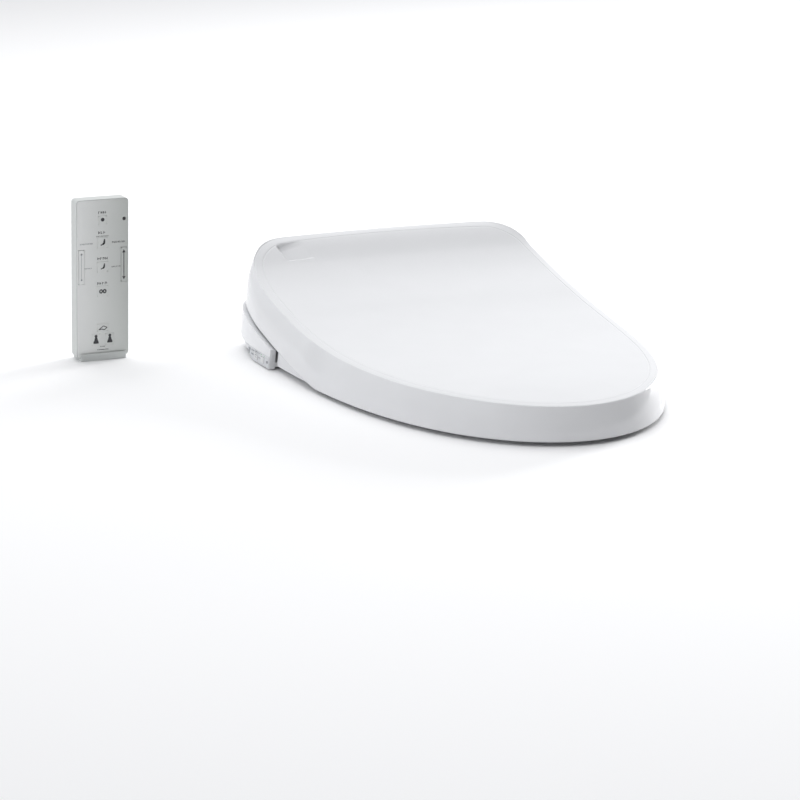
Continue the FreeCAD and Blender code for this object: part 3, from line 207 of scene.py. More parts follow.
def surface(name, colour, rough, metal=0.0, mottle=0.02, vary=0.05, grain=900.0, bump=0.02,
            stretch=None, wear=0.0):
    """Moulded plastic, rubber or metal: mottled colour, uneven gloss, a fine grain and rubbed edges."""
    mat, tree, shader = node_tree(name)
    coords = tree.nodes.new("ShaderNodeTexCoord").outputs["Object"]
    grain_coords = stretched(tree, coords, stretch) if stretch else coords
    clouds = noise(tree, coords, 26.0, 4.0)
    darker = [max(0.0, c * (1.0 - mottle)) for c in colour]
    lighter = [min(1.0, c * (1.0 + mottle)) for c in colour]
    base = mix_colour(tree, remap(tree, clouds, 0.0, 1.0), darker, lighter)
    colour_out = base.outputs["Result"]
    if wear > 0.0:
        point = tree.nodes.new("ShaderNodeNewGeometry").outputs["Pointiness"]
        rubbed = [min(1.0, c * 1.25 + 0.05) for c in colour]
        rub = mix_colour(tree, remap(tree, point, 0.0, wear, (0.5, 0.6)), (0, 0, 0), rubbed)
        tree.links.new(colour_out, rub.inputs["A"])
        colour_out = rub.outputs["Result"]
    tree.links.new(colour_out, shader.inputs["Base Color"])
    smears = noise(tree, grain_coords, 9.0 if not stretch else 300.0, 5.0, 0.6)
    tree.links.new(remap(tree, smears, rough - vary, rough + vary), shader.inputs["Roughness"])
    shader.inputs["Metallic"].default_value = metal
    shader.inputs["IOR"].default_value = 1.49
    bumps = tree.nodes.new("ShaderNodeBump")
    bumps.inputs["Strength"].default_value = bump
    bumps.inputs["Distance"].default_value = 0.0002
    tree.links.new(noise(tree, grain_coords, grain, 2.0), bumps.inputs["Height"])
    tree.links.new(bumps.outputs["Normal"], shader.inputs["Normal"])
    return mat


def silver():
    """The handset's brushed face, with a painted reflection: its colour is made darker towards one side,
    standing in for the reflection that darkens across the real face.
    """
    mat = surface("silver_face", (0.86, 0.87, 0.86), 0.34, metal=0.25, mottle=0.015, vary=0.05,
                  grain=500.0, bump=0.08, stretch=(60.0, 1.0, 1.0))
    tree = mat.node_tree
    shader = tree.nodes["Principled BSDF"]
    # painted reflection: the base colour is mixed towards a darker grey across the face's width, in place of
    # a reflection gradient
    across = tree.nodes.new("ShaderNodeSeparateXYZ")
    tree.links.new(tree.nodes["Texture Coordinate"].outputs["Object"], across.inputs["Vector"])
    low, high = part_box("remote_face")
    painted_reflection_ramp = remap(tree, across.outputs["X"], 0.0, 1.0, (low.x, high.x))
    painted_reflection_mix = mix_colour(tree, painted_reflection_ramp, (0, 0, 0), (0.56, 0.58, 0.56))
    tree.links.new(shader.inputs["Base Color"].links[0].from_socket, painted_reflection_mix.inputs["A"])
    tree.links.new(painted_reflection_mix.outputs["Result"], shader.inputs["Base Color"])
    return mat


materials = {
    "white_gloss": surface("white_gloss", (0.785, 0.79, 0.805), 0.11, mottle=0.008, vary=0.03,
                           grain=700.0, bump=0.010),
    "white_satin": surface("white_satin", (0.74, 0.745, 0.755), 0.34, mottle=0.02, vary=0.06,
                           grain=2600.0, bump=0.10),
    "label_grey": surface("label_grey", (0.66, 0.67, 0.69), 0.38, mottle=0.02, grain=2200.0, bump=0.08),
    "inner_plastic": surface("inner_plastic", (0.55, 0.56, 0.55), 0.45, mottle=0.05,
                             grain=1800.0, bump=0.15, wear=0.4),
    "dark_plastic": surface("dark_plastic", (0.035, 0.035, 0.04), 0.42, mottle=0.10,
                            grain=1800.0, bump=0.18, wear=0.5),
    "dark_lens": surface("dark_lens", (0.012, 0.010, 0.014), 0.06, mottle=0.10, vary=0.02,
                         grain=400.0, bump=0.01),
    "rubber_grey": surface("rubber_grey", (0.50, 0.50, 0.49), 0.72, mottle=0.06, grain=3200.0, bump=0.30),
    "steel": surface("steel", (0.62, 0.61, 0.59), 0.28, metal=1.0, mottle=0.05,
                     grain=600.0, bump=0.06, stretch=(1.0, 40.0, 40.0)),
    "brass_part": surface("brass_part", (0.70, 0.52, 0.24), 0.30, metal=1.0, mottle=0.06,
                          grain=900.0, bump=0.05),
    "board_green": surface("board_green", (0.015, 0.12, 0.045), 0.40, mottle=0.25,
                           grain=1200.0, bump=0.20),
    "foil": surface("foil", (0.74, 0.74, 0.73), 0.30, metal=0.9, mottle=0.05, vary=0.10,
                    grain=300.0, bump=0.35),
    "silver_face": silver(),
    "remote_grey": surface("remote_grey", (0.56, 0.58, 0.57), 0.42, mottle=0.02,
                           grain=2400.0, bump=0.12, wear=0.3),
    "battery_skin": surface("battery_skin", (0.10, 0.13, 0.17), 0.30, metal=0.3, mottle=0.08,
                            grain=600.0, bump=0.05),
    "filter_carbon": surface("filter_carbon", (0.70, 0.70, 0.69), 0.50, mottle=0.04,
                             grain=2000.0, bump=0.18),
}
print_ink = surface("print_ink", (0.05, 0.05, 0.055), 0.50, mottle=0.15, grain=3000.0, bump=0.05)
print_grey = surface("print_grey", (0.28, 0.29, 0.31), 0.50, mottle=0.10, grain=3000.0, bump=0.05)
led_green = surface("led_green", (0.20, 0.55, 0.25), 0.20, mottle=0.05, grain=600.0, bump=0.02)


record_slots = {part["node"]: part["material_slot"] for part in frame["record"]["subparts"]}


def dress_cad_nodes():
    """Gives every CAD node the material that its record names."""
    for node, obj in frame["nodes"].items():
        mat = materials[record_slots[node]]
        if not obj.material_slots:
            obj.data.materials.append(mat)
        for place in obj.material_slots:
            place.material = mat


# ---------------------------------------------------------------- mesh helpers
def add_mesh(name, verts, faces, mat, body, smooth=True, weld=0.0):
    """A piece from points in millimetres, which rides on a CAD body."""
    mesh = bpy.data.meshes.new(name)
    mesh.from_pydata([tuple(c * MM for c in v) for v in verts], [], faces)
    obj = bpy.data.objects.new(name, mesh)
    bpy.context.scene.collection.objects.link(obj)
    work = bmesh.new()
    work.from_mesh(mesh)
    if weld:
        bmesh.ops.remove_doubles(work, verts=work.verts, dist=weld * MM)
    bmesh.ops.recalc_face_normals(work, faces=work.faces)
    work.to_mesh(mesh)
    work.free()
    for poly in mesh.polygons:
        poly.use_smooth = smooth
    mesh.materials.append(mat)
    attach(obj, body)
    return obj


def loft(rings, closed=True, cap_start=False, cap_end=False):
    """Points and faces of a skin through rings that have the same number of points."""
    n = len(rings[0])
    verts = [tuple(p) for ring in rings for p in ring]
    faces = []
    for k in range(len(rings) - 1):
        for i in range(n if closed else n - 1):
            j = (i + 1) % n
            faces.append((k * n + i, k * n + j, (k + 1) * n + j, (k + 1) * n + i))
    if cap_start:
        faces.append(tuple(range(n)))
    if cap_end:
        faces.append(tuple(range((len(rings) - 1) * n, len(rings) * n)))
    return verts, faces


def hermite(points, x):
    """A smooth curve through (x, z) points, for an array of x."""
    px = np.array([p[0] for p in points], float)
    pz = np.array([p[1] for p in points], float)
    slope = np.gradient(pz, px)
    x = np.clip(x, px[0], px[-1])
    i = np.clip(np.searchsorted(px, x, side="right") - 1, 0, len(px) - 2)
    h = px[i + 1] - px[i]
    t = (x - px[i]) / h
    a = (2 * t ** 3 - 3 * t ** 2 + 1) * pz[i] + (t ** 3 - 2 * t ** 2 + t) * h * slope[i]
    return a + (3 * t ** 2 - 2 * t ** 3) * pz[i + 1] + (t ** 3 - t ** 2) * h * slope[i + 1]


def smooth(t):
    """A soft step from 0 to 1."""
    t = np.clip(t, 0.0, 1.0)
    return t * t * (3.0 - 2.0 * t)


# ---------------------------------------------------------------- lid
def side_x(y):
    """Half width of the lid's straight sides and rear corners at y."""
    k = (y - wide_y) / (rear_y - wide_y)
    x = half_width - rear_taper * k * k
    c = np.maximum(0.0, 1.0 - (rear_y - y) / corner_r)
    return x - corner_r * (1.0 - np.sqrt(np.maximum(0.0, 1.0 - c * c)))


def lid_outline(count):
    """Evenly spaced points round the lid and their outward directions, from the middle of the rear."""
    corner_x = half_width - rear_taper - corner_r
    rear = np.stack([np.linspace(0, corner_x, 200), np.full(200, rear_y)], 1)
    ya = rear_y - corner_r + corner_r * np.cos(np.linspace(0, math.pi / 2, 300))
    arc = np.stack([side_x(ya), ya], 1)
    ys = np.linspace(rear_y - corner_r, wide_y, 200)
    side = np.stack([side_x(ys), ys], 1)
    t = np.linspace(0, math.pi / 2, 3000)
    nose = np.stack([half_width * np.cos(t).clip(0) ** (2 / round_x),
                     wide_y - (wide_y - front_y) * np.sin(t) ** (2 / round_y)], 1)
    half = np.concatenate([rear[:-1], arc[:-1], side[:-1], nose])
    m = np.clip((half[:, 1] - rear_y + bow_span) / bow_span, 0, 1)
    half[:, 1] -= rear_bow * (half[:, 0] / half_width) ** 2 * m
    length = np.concatenate([[0], np.cumsum(np.hypot(*np.diff(half, axis=0).T))])
    even = np.linspace(0, length[-1], count // 2 + 1)
    right = np.stack([np.interp(even, length, half[:, 0]), np.interp(even, length, half[:, 1])], 1)
    left = right[1:-1][::-1] * (-1, 1)
    points = np.concatenate([right, left])
    run = np.roll(points, -1, 0) - np.roll(points, 1, 0)
    run /= np.hypot(run[:, 0], run[:, 1])[:, None]
    return points, np.stack([-run[:, 1], run[:, 0]], 1)


def skirt_bottom(points):
    """Height of the lid's lower edge, which rises to the rear and opens over the unit."""
    k = np.clip((points[:, 1] - skirt_rise_y) / (rear_y - skirt_rise_y), 0, None)
    z = skirt_z + skirt_rise * k ** skirt_rise_power
    inwards = rear_opening_x + opening_margin - np.abs(points[:, 0])
    open_rear = smooth(inwards / opening_fade) * (points[:, 1] > rear_opening_y)
    return z + (rear_lip_z - z) * open_rear


def scoop(x, y):
    """Depth of the finger scoop at the lid's rear corner, deepest at its outer and front edges."""
    u = (x + scoop_x - (scoop_front_y + scoop_length - y) * scoop_slant) / scoop_width
    v = (y - scoop_front_y) / scoop_length
    inside = smooth(u / 0.12) * smooth(v / 0.10) * np.clip(1.0 - u, 0.0, 1.0)
    inside = inside * smooth((1.0 - v) / 0.35)
    return scoop_depth * inside


def lid_skin():
    """The lid's whole skin as one loft, from its inner spine round the lip to its outer spine."""
    points, out = lid_outline(900)
    # the directions have to point outwards
    if (points[0] + out[0] * 5.0)[1] < points[0][1]:
        out = -out
    bottom = skirt_bottom(points)

    def ring(inset, z):
        spot = points - out * inset[:, None]
        return np.stack([spot[:, 0], spot[:, 1], z], 1)

    def height(inset):
        return hermite(top_points, (points - out * inset[:, None])[:, 1])

    rings = []
    flat = np.zeros(len(points))
    # inside, from the spine out to the lip
    top_inset = draft * height(flat + 9.0)
    crest = top_inset + lean + edge_a
    spine_y = np.clip(points[:, 1], spine_front_y, spine_rear_y)

    def panel(v, start, lift, spare=0.0):
        base = points - out * start[:, None]
        spot = base * (1 - v)
        spot[:, 1] += spine_y * v
        z = hermite(top_points, spot[:, 1]) + lift + crown * (1.0 - (1.0 - v) ** 2)
        z -= np.maximum(scoop(spot[:, 0], spot[:, 1]) - spare, 0.0)
        return np.stack([spot[:, 0], spot[:, 1], z], 1)

    inner_start = crest + inner_corner_in
    for v in np.linspace(1.0, 0.0, 40):
        rings.append(panel(v, inner_start, border_rise - wall, wall - 1.0))
    for phi in np.linspace(90, 0, 7):
        a = math.radians(phi)
        inset = top_inset + wall + lean + inner_corner_in * (1.0 - math.cos(a))
        rings.append(ring(inset, height(inset) - wall - inner_corner + inner_corner * math.sin(a)))
    inner_top = height(top_inset + wall) - wall - inner_corner
    for w in (0.96, 0.9, 0.82, 0.7, 0.5, 0.25, 0.08):
        z = bottom + (inner_top - bottom) * w
        near_top = np.clip(1.0 - (inner_top - z) / lean_span, 0.0, 1.0)
        rings.append(ring(draft * z + wall + lean * near_top ** 2.0, z))
    # the rounded lip
    for phi in (0, 40, 80, 100, 140, 180):
        a = math.radians(phi)
        inset = draft * bottom + wall * 0.5 + wall * 0.5 * math.cos(a)
        rings.append(ring(inset, bottom + lip_rise - lip_rise * math.sin(a)))
    # outside, from the lip up to the crest and in to the spine
    wall_top = height(top_inset) - edge_b
    wall_top = np.maximum(wall_top, bottom + 2.0)
    for w in np.linspace(0.04, 1.0, 22):
        z = bottom + lip_rise + (wall_top - bottom - lip_rise) * w
        near_top = np.clip(1.0 - (wall_top - z) / lean_span, 0.0, 1.0)
        rings.append(ring(draft * z + lean * near_top ** 2.0, z))
    for phi in np.linspace(16, 90, 9):
        a = math.radians(phi)
        inset = top_inset + lean + edge_a * (1.0 - math.cos(a))
        rings.append(ring(inset, height(inset) - edge_b + edge_b * math.sin(a)))
    for step in (0.15, 0.4, 0.65, 0.88, 1.0):
        inset = crest + border_w * step
        rings.append(ring(inset, height(inset) + border_rise * step))
    for step, dip in ((0.3, 0.8), (0.5, 1.0), (0.7, 0.8)):
        inset = crest + border_w + groove_w * step
        rings.append(ring(inset, height(inset) + border_rise - groove_depth * dip))
    start = crest + border_w + groove_w
    spread = np.concatenate([np.linspace(0.0, 0.36, 76), np.linspace(0.36, 1.0, 34)[1:]])
    for v in spread:
        rings.append(panel(v, start, border_rise))
    verts, faces = loft(rings)
    skin = add_mesh("lid_skin", verts, faces, materials["white_gloss"], "lid", weld=0.02)
    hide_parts("lid_shell")


def lid_lugs():
    """The two hinge lugs under the lid's rear corners."""
    steps = 56
    for side in (-1, 1):
        rings = []
        for x in (lug_x0, lug_x1):
            outer, hole = [], []
            for k in range(steps):
                a = 2 * math.pi * k / steps
                c, s = math.cos(a), math.sin(a)
                r = lug_r if s <= 0 else min(lug_r / max(abs(c), 1e-6), lug_top)
                if c > 0:
                    r = min(r, lug_front / c)
                if s > 0:
                    for _ in range(6):
                        roof = float(hermite(top_points, np.array([hinge_y + r * c]))[0]) - lug_sunk
                        r = min(r, (roof - hinge_z) / s)
                outer.append((side * x, hinge_y + r * c, hinge_z + r * s))
                hole.append((side * x, hinge_y + shaft_r * c, hinge_z + shaft_r * s))
            rings.append((outer, hole))
        (outer0, hole0), (outer1, hole1) = rings
        verts, faces = loft([hole0, outer0, outer1, hole1, hole0])
        lug = add_mesh("lid_lug_left" if side > 0 else "lid_lug_right", verts, faces,
                       materials["white_gloss"], "lid", smooth=False, weld=0.001)
        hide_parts("lid_shell")


def lid_pads():
    """Four soft domed pads under the lid, clear of its leaning wall."""
    for name, x, y in (("front", 108.0, -374.0), ("rear", 150.0, -152.0)):
        for side, word in ((1, "left"), (-1, "right")):
            low = float(hermite(seat_top_points, np.array([y + pad_r]))[0]) + pad_gap
            high = float(hermite(top_points, np.array([y]))[0]) - wall + 1.5
            profile = [(0.01, low), (pad_r * 0.6, low + 0.2), (pad_r * 0.85, low + 0.7),
                       (pad_r * 0.97, low + 1.6), (pad_r, low + 2.6), (pad_r, high)]
            turns = [2 * math.pi * k / 32 for k in range(32)]
            rings = []
            for r, z in profile:
                rings.append([(side * x + r * math.cos(a), y + r * math.sin(a), z) for a in turns])
            verts, faces = loft(rings, cap_start=True, cap_end=True)
            pad = add_mesh(f"lid_pad_{name}_{word}", verts, faces, materials["rubber_grey"], "lid")
            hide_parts("lid_bumpers")


# ---------------------------------------------------------------- side cover under the right of the lid
def copy_of(node, name):
    """A piece that starts as a welded copy of a CAD node, on the same body."""
    source = frame["nodes"][node]
    mesh = source.data.copy()
    mesh.name = name
    mesh.transform(source.matrix_world)
    obj = bpy.data.objects.new(name, mesh)
    bpy.context.scene.collection.objects.link(obj)
    work = bmesh.new()
    work.from_mesh(mesh)
    bmesh.ops.remove_doubles(work, verts=work.verts, dist=0.002 * MM)
    bmesh.ops.recalc_face_normals(work, faces=work.faces)
    work.to_mesh(mesh)
    work.free()
    return obj


def cut_by(obj, cutter):
    """Takes the cutter's solid out of a piece, and removes the cutter."""
    cut = obj.modifiers.new("cut", "BOOLEAN")
    cut.operation = "DIFFERENCE"
    cut.solver = "EXACT"
    cut.object = cutter
    graph = bpy.context.evaluated_depsgraph_get()
    mesh = bpy.data.meshes.new_from_object(obj.evaluated_get(graph))
    obj.modifiers.clear()
    obj.data = mesh
    bpy.data.objects.remove(cutter)


def side_cover():
    """The right side cover and its label, with the lower rear edge cut away as it runs back."""
    edge = [(-47.0, -2.0), (-22.5, 12.6), (5.0, 16.0), (20.0, 20.5), (60.0, 30.0), (60.0, -2.0)]
    for node, name in (("side_cover_right", "side_cover_trimmed"), ("side_label", "side_label_trimmed")):
        piece = copy_of(node, name)
        verts, faces = loft([[(x * MM, y * MM, z * MM) for y, z in edge] for x in (-220.0, -140.0)],
                            cap_start=True, cap_end=True)
        mesh = bpy.data.meshes.new("wedge")
        mesh.from_pydata(verts, [], faces)
        wedge = bpy.data.objects.new("wedge", mesh)
        bpy.context.scene.collection.objects.link(wedge)
        cut_by(piece, wedge)
        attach(piece, "unit")
        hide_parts(node)


def release_key():
    """The release button, which stands a little proud of the base's wall in the cut-away."""
    low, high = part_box("release_button")
    y0, y1, z0, z1 = low.y / MM, high.y / MM, low.z / MM, high.z / MM
    face_inset = 6.6
    rings = []
    for inset, shrink in ((9.6, 0.0), (face_inset + 0.5, 0.0), (face_inset + 0.15, 0.15), (face_inset, 0.5)):
        loop = []
        for cy, cz, a0 in ((y1, z1, 0), (y0, z1, 90), (y0, z0, 180), (y1, z0, 270)):
            r = 1.5
            for k in range(7):
                a = math.radians(a0 + 15 * k)
                y = cy - math.copysign(r + shrink, cy - (y0 + y1) / 2) + r * math.cos(a)
                z = cz - math.copysign(r + shrink, cz - (z0 + z1) / 2) + r * math.sin(a)
                loop.append((-(float(side_x(y)) - draft * z - inset), y, z))
        rings.append(loop)
    verts, faces = loft(rings, cap_start=True, cap_end=True)
    key = add_mesh("release_key", verts, faces, materials["label_grey"], "release_button",
                   smooth=False)
    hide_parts("release_button")


# ---------------------------------------------------------------- printed marks
def plate_faces(verts, faces, outline, place, thick):
    """Adds a thin raised plate with the given (u, v) outline. place gives (x, y, z) of (u, v, height)."""
    n = len(outline)
    start = len(verts)
    for h in (0.0, thick):
        for u, v in outline:
            verts.append(place(u, v, h))
    faces.append(tuple(range(start, start + n)))
    faces.append(tuple(range(start + n, start + 2 * n)))
    for i in range(n):
        j = (i + 1) % n
        faces.append((start + i, start + j, start + n + j, start + n + i))


def bar(u, v, w, h):
    """An upright rectangle about (u, v)."""
    return [(u - w / 2, v - h / 2), (u + w / 2, v - h / 2),
            (u + w / 2, v + h / 2), (u - w / 2, v + h / 2)]


def disc(u, v, r, squash=1.0, steps=20):
    """A round, or flattened, dot about (u, v)."""
    turns = [2 * math.pi * k / steps for k in range(steps)]
    return [(u + r * math.cos(a), v + r * squash * math.sin(a)) for a in turns]


def stroke(points, width):
    """Short flat bars along a line of points."""
    bars = []
    for (u0, v0), (u1, v1) in zip(points, points[1:]):
        length = math.hypot(u1 - u0, v1 - v0)
        du, dv = -(v1 - v0) / length * width / 2, (u1 - u0) / length * width / 2
        bars.append([(u0 - du, v0 - dv), (u1 - du, v1 - dv), (u1 + du, v1 + dv), (u0 + du, v0 + dv)])
    return bars


def arc(u, v, r, a0, a1, steps=12, squash=1.0):
    """Points along an arc about (u, v), from a0 to a1 degrees."""
    angles = [math.radians(a0 + (a1 - a0) * k / steps) for k in range(steps + 1)]
    return [(u + r * math.cos(a), v + r * squash * math.sin(a)) for a in angles]


def tick_row(u, v, width, height, seed):
    """A row of small glyph-like marks where a line of print would be."""
    rng = np.random.default_rng(seed)
    bars = []
    at = u - width / 2
    while at < u + width / 2 - height * 0.3:
        w = height * rng.uniform(0.45, 0.8)
        stem = height * 0.24
        bars.append(bar(at + stem / 2, v, stem, height))
        cross_v = v + height * rng.uniform(-0.4, 0.4)
        bars.append(bar(at + w / 2 + stem / 4, cross_v, w - stem / 2, height * 0.22))
        if rng.uniform() > 0.4:
            bars.append(bar(at + w, v, stem, height * rng.uniform(0.5, 1.0)))
        at += w + height * rng.uniform(0.35, 0.5)
    return bars


def print_piece(name, outlines, place, body, mat, thick=0.06):
    """One piece of raised print, made of thin plates."""
    verts, faces = [], []
    for outline in outlines:
        plate_faces(verts, faces, outline, place, thick)
    return add_mesh(name, verts, faces, mat, body, smooth=False)


def seat_icon(u, v, scale=1.0):
    """A sitter's back, lap and shin as one bent stroke, with a head."""
    spine = [(u + 2.0 * scale, v + 2.2 * scale), (u + 1.6 * scale, v - 0.8 * scale),
             (u + 0.2 * scale, v - 2.0 * scale)]
    shape = stroke(spine, 2.1 * scale) + [disc(u + 1.6 * scale, v - 0.8 * scale, 1.05 * scale)]
    shape += stroke([(u + 0.8 * scale, v - 1.6 * scale), (u - 2.4 * scale, v - 2.9 * scale)], 1.2 * scale)
    return shape + [disc(u + 2.1 * scale, v + 3.0 * scale, 0.9 * scale)]


def pawn_icon(u, v, scale=1.0):
    """A tapered body on a foot, with a round head."""
    base = [(-3.0, -5.0), (3.0, -5.0), (3.1, -3.4), (2.0, -1.0),
            (1.3, 2.0), (-1.3, 2.0), (-2.0, -1.0), (-3.1, -3.4)]
    return [[(u + a * scale, v + b * scale) for a, b in base], disc(u, v + 3.4 * scale, 1.7 * scale)]


def control_seals(names, low_face):
    """Thin silver seals that fill the gap round each control, level with the face."""
    for name in names:
        low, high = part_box(name)
        x0, x1, z0, z1 = low.x / MM, high.x / MM, low.z / MM, high.z / MM
        rings = []
        for grow, d in ((seal_inner, seal_sunk), (seal_outer, seal_sunk), (seal_outer, seal_depth),
                        (seal_inner, seal_depth), (seal_inner, seal_sunk)):
            r = seal_corner_r + grow
            loop = []
            for cx, cz, a0 in ((x1 + grow - r, z1 + grow - r, 0), (x0 - grow + r, z1 + grow - r, 90),
                               (x0 - grow + r, z0 - grow + r, 180), (x1 + grow - r, z0 - grow + r, 270)):
                turns = [math.radians(a0 + 15 * k) for k in range(7)]
                loop += [(cx + r * math.cos(a), low_face + d, cz + r * math.sin(a)) for a in turns]
            rings.append(loop)
        verts, faces = loft(rings)
        add_mesh(name + "_seal", verts, faces, materials["silver_face"], "remote",
                 smooth=False, weld=0.001)


def remote_marks():
    """Printed marks on the handset's face and controls."""
    low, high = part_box("remote_face")
    mid_x = (low.x + high.x) / 2 / MM
    face_y = low.y / MM
    z0 = low.z / MM - 0.6
    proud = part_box("remote_stop_button")[0].y / MM

    def on_face(u, v, h):
        return (mid_x + u, face_y - print_lift - h, z0 + v)

    def on_button(u, v, h):
        return (mid_x + u, proud - print_lift - h, z0 + v)

    face_marks = tick_row(0, 161.5, 10, 2.6, 1) + tick_row(0, 139.2, 10, 2.9, 2)
    face_marks += tick_row(0, 135.2, 15, 1.1, 3) + tick_row(0, 110.3, 12, 2.7, 4)
    face_marks += tick_row(0, 82.6, 12.5, 2.7, 5)
    face_marks += tick_row(18.5, 127.6, 15, 2.0, 7) + tick_row(15.5, 100.2, 10, 1.5, 9)
    face_marks += tick_row(0, 11.4, 6, 1.2, 11) + tick_row(0, 8.0, 13, 1.2, 12)
    print_piece("remote_face_print", face_marks, on_face, "remote", print_ink)
    faint_marks = tick_row(-18.5, 127.6, 15, 1.7, 6) + tick_row(-17.0, 100.2, 9, 1.3, 8)
    print_piece("remote_face_faint_print", faint_marks, on_face, "remote", print_grey)
    loop_u, loop_v = 2.1, 73.6
    button_marks = {
        "remote_stop_button": [disc(0, 153.5, 2.1)],
        "remote_rear_button": seat_icon(0, 128.0),
        "remote_soft_button": seat_icon(0, 101.2, 0.9),
        "remote_front_button": stroke(arc(-loop_u, loop_v, 1.5, 0, 360, 20, 1.2), 1.5)
        + stroke(arc(loop_u, loop_v, 1.5, 0, 360, 20, 1.2), 1.5),
        "remote_lid_button": stroke([(-4.8, 30.6), (0.6, 34.6), (4.8, 32.6), (1.6, 30.2), (-1.4, 31.2),
                                     (-4.8, 30.6)], 0.9),
        "remote_flush_button_large": pawn_icon(-8, 20.2, 1.0),
        "remote_flush_button_small": pawn_icon(8, 20.2, 0.98),
        "remote_pressure_rocker": stroke([(-24.5, 88), (-24.5, 116)], 0.35)
        + [disc(-24.5, 116.5, 1.1), disc(-24.5, 88, 0.9)],
        "remote_position_rocker": stroke([(24.5, 88), (24.5, 116)], 0.9)
        + [[(22.6, 115.2), (24.5, 119.0), (26.4, 115.2)], [(22.6, 88.6), (26.4, 88.6), (24.5, 84.9)]],
    }
    control_seals([name for name in button_marks if "rocker" not in name], face_y)
    for body, marks in button_marks.items():
        ink = print_grey if body == "remote_pressure_rocker" else print_ink
        print_piece(body + "_print", marks, on_button, body, ink)


def label_marks():
    """Printed marks on the label at the side of the unit and on its two buttons."""
    outer = -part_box("side_label")[0].x / MM
    button_outer = -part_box("side_button_wash")[0].x / MM

    def on_plane(plane, z_ref):
        def place(u, v, h):
            k = max(0.0, (u - wide_y) / (rear_y - wide_y))
            nose = max(0.0, (wide_y - u) / label_nose_span)
            half = plane - rear_taper * k * k - label_nose_in * nose ** label_nose_power
            return (-(half - draft * (v - z_ref) + label_lift + h), u, v)
        return place

    on_label = on_plane(outer, 1.8)
    on_button = on_plane(button_outer, 4.5)
    marks = [[(-35.5, 12.6), (-28.0, 12.6), (-31.5, 5.0)]]
    marks += tick_row(-41.5, 11.6, 8.0, 1.8, 21) + tick_row(-42.0, 7.4, 7.0, 2.0, 22)
    marks += tick_row(-56.0, 12.4, 15.0, 1.4, 23) + tick_row(-61.0, 7.4, 6.0, 1.8, 24)
    marks += [disc(-82.5, 8.0, 2.6, 0.7)]
    print_piece("side_label_print", marks, on_label, "unit", print_grey, 0.05)
    wash_marks = tick_row(-52.0, 8.8, 6.5, 1.4, 25) + tick_row(-52.0, 6.4, 5.0, 1.2, 26)
    print_piece("side_button_wash_print", wash_marks, on_button, "side_button_wash", print_grey, 0.05)
    ring = stroke(arc(-70.0, 7.4, 2.0, 120, 420, 18, 0.9), 0.6) + [bar(-70.0, 8.8, 0.7, 2.0)]
    print_piece("side_button_power_print", ring, on_button, "side_button_power", print_grey, 0.05)
    leds = [disc(-66.0, 12.3, 0.7), disc(-74.0, 12.3, 0.7)]
    print_piece("side_label_lights", leds, on_label, "unit", led_green, 0.12)


# ---------------------------------------------------------------- small moulded pieces
def inlet_thread():
    """The ridges of the threaded stub, one turn each."""
    end_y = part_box("inlet_valve")[1].y / MM
    steps = 40
    path = []
    for k in range(thread_turns * steps + 1):
        a = 2 * math.pi * k / steps
        y = end_y - 1.2 - thread_pitch * k / steps
        fade = min(1.0, k / steps, (thread_turns * steps - k) / steps)
        tip = 10.35 + 0.45 * fade
        row = []
        for dy, r in ((-0.8, thread_root_r), (-0.15, tip), (0.15, tip), (0.8, thread_root_r)):
            row.append((thread_x + r * math.cos(a), y + dy, thread_z + r * math.sin(a)))
        path.append(row)
    verts, faces = loft(path, closed=False)
    add_mesh("inlet_thread", verts, faces, materials["inner_plastic"], "unit")


def rear_label():
    """A plain rating label on the unit's back, with printed lines and no words."""
    mid = plate_mid
    corner_u = plate_wide / 2 - plate_corner_r
    corner_v = plate_tall / 2 - plate_corner_r
    outline = []
    for cu, cv, a0 in ((corner_u, corner_v, 0), (-corner_u, corner_v, 90),
                       (-corner_u, -corner_v, 180), (corner_u, -corner_v, 270)):
        outline += arc(cu, mid + 2.0 + cv, plate_corner_r, a0, a0 + 90, 6)

    def on_back(u, v, h):
        return (u, plate_y + h, v)

    print_piece("rear_label", [outline], on_back, "unit", materials["label_grey"], 0.12)
    lines = []
    for k in range(4):
        lines += tick_row(6.0, mid + 8.5 - 4.2 * k, 44.0 - 5.0 * (k % 2), 1.0, 40 + k)
    frame_line = [(-28, mid - 5.5), (-22, mid - 5.5), (-22, mid + 9.0), (-28, mid + 9.0), (-28, mid - 5.5)]
    lines += stroke(frame_line, 0.4)

    def on_label(u, v, h):
        return (u, plate_print_y + h, v)

    print_piece("rear_label_print", lines, on_label, "unit", print_grey, 0.05)


# ---------------------------------------------------------------- floor, light and camera
def floor():
    """A plain pale floor just under the model, on the stage only."""
    low = Vector(cad_box[0])
    size = 14.0
    mesh = bpy.data.meshes.new("floor")
    corners = [(-size, -size), (size, -size), (size, size), (-size, size)]
    mesh.from_pydata([(x, y, low.z - 0.0002) for x, y in corners], [], [(0, 1, 2, 3)])
    obj = bpy.data.objects.new("floor", mesh)
    bpy.context.scene.collection.objects.link(obj)
    mat, _, shader = node_tree("floor")
    shader.inputs["Base Color"].default_value = (0.95, 0.95, 0.955, 1.0)
    shader.inputs["Roughness"].default_value = 0.9
    shader.inputs["Specular IOR Level"].default_value = 0.1
    mesh.materials.append(mat)


def area_light(name, place, size, power, target=(0.0, -0.2, 0.05)):
    """A rectangular light that faces the target."""
    data = bpy.data.lights.new(name, "AREA")
    data.shape = "RECTANGLE"
    data.size = size[0]
    data.size_y = size[1]
    data.energy = power
    obj = bpy.data.objects.new(name, data)
    obj.location = place
    obj.rotation_euler = (Vector(target) - Vector(place)).to_track_quat("-Z", "Y").to_euler()
    bpy.context.scene.collection.objects.link(obj)
    return obj


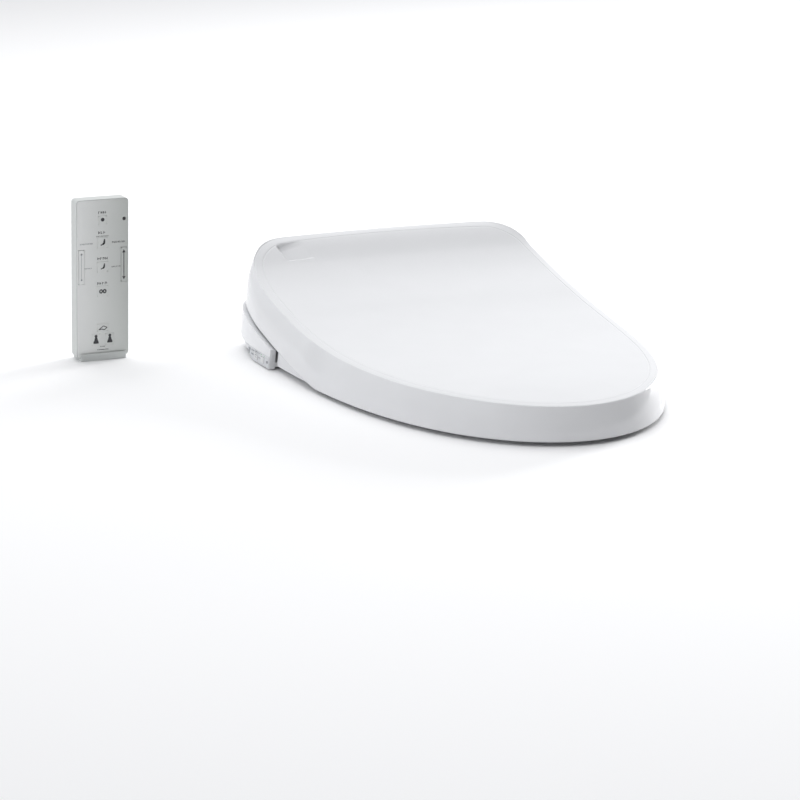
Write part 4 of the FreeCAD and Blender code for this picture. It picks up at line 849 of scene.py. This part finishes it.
def world():
    """A white room that is darker behind the camera, so that the front skirt keeps its shape."""
    scene_world = bpy.data.worlds.new("room")
    bpy.context.scene.world = scene_world
    scene_world.use_nodes = True
    tree = scene_world.node_tree
    background = tree.nodes["Background"]
    direction = tree.nodes.new("ShaderNodeTexCoord").outputs["Generated"]
    dot = tree.nodes.new("ShaderNodeVectorMath")
    dot.operation = "DOT_PRODUCT"
    dark_way = Vector((0.68, -0.72, 0.12)).normalized()
    dot.inputs[1].default_value = dark_way
    tree.links.new(direction, dot.inputs[0])
    level = remap(tree, dot.outputs["Value"], 0.80, 0.02, (-0.05, 0.92))
    tree.links.new(level, background.inputs["Strength"])
    background.inputs["Color"].default_value = (0.97, 0.98, 1.0, 1.0)


def camera():
    """The camera, on the seat's right and a little above it."""
    data = bpy.data.cameras.new("camera")
    data.sensor_width = 36.0
    data.lens = 3323.0 / 800.0 * 36.0
    data.clip_end = 60.0
    obj = bpy.data.objects.new("camera", data)
    azimuth = math.radians(-25.69)
    elevation = math.radians(15.34)
    roll = math.radians(1.26)
    back = Vector((math.sin(azimuth) * math.cos(elevation), -math.cos(azimuth) * math.cos(elevation),
                   math.sin(elevation)))
    right = Vector((math.cos(azimuth), math.sin(azimuth), 0.0))
    up = back.cross(right)
    turned = right * math.cos(roll) + up * math.sin(roll)
    risen = up * math.cos(roll) - right * math.sin(roll)
    matrix = Matrix((turned, risen, back)).transposed().to_4x4()
    matrix.translation = Vector((-1.580, -3.302, 0.9292))
    obj.matrix_world = matrix
    bpy.context.scene.collection.objects.link(obj)
    bpy.context.scene.camera = obj


dress_cad_nodes()
lid_skin()
lid_lugs()
lid_pads()
side_cover()
release_key()
remote_marks()
label_marks()
inlet_thread()
rear_label()
floor()
world()
area_light("top_light", (0.2, 0.5, 2.4), (2.4, 2.4), 40.0).visible_glossy = False
area_light("right_light", (2.6, 0.95, 0.5), (0.8, 0.8), 95.0)
area_light("left_fill", (-2.4, -1.2, 1.1), (1.4, 1.2), 1.0)
camera()
bpy.context.scene.view_settings.view_transform = "Standard"
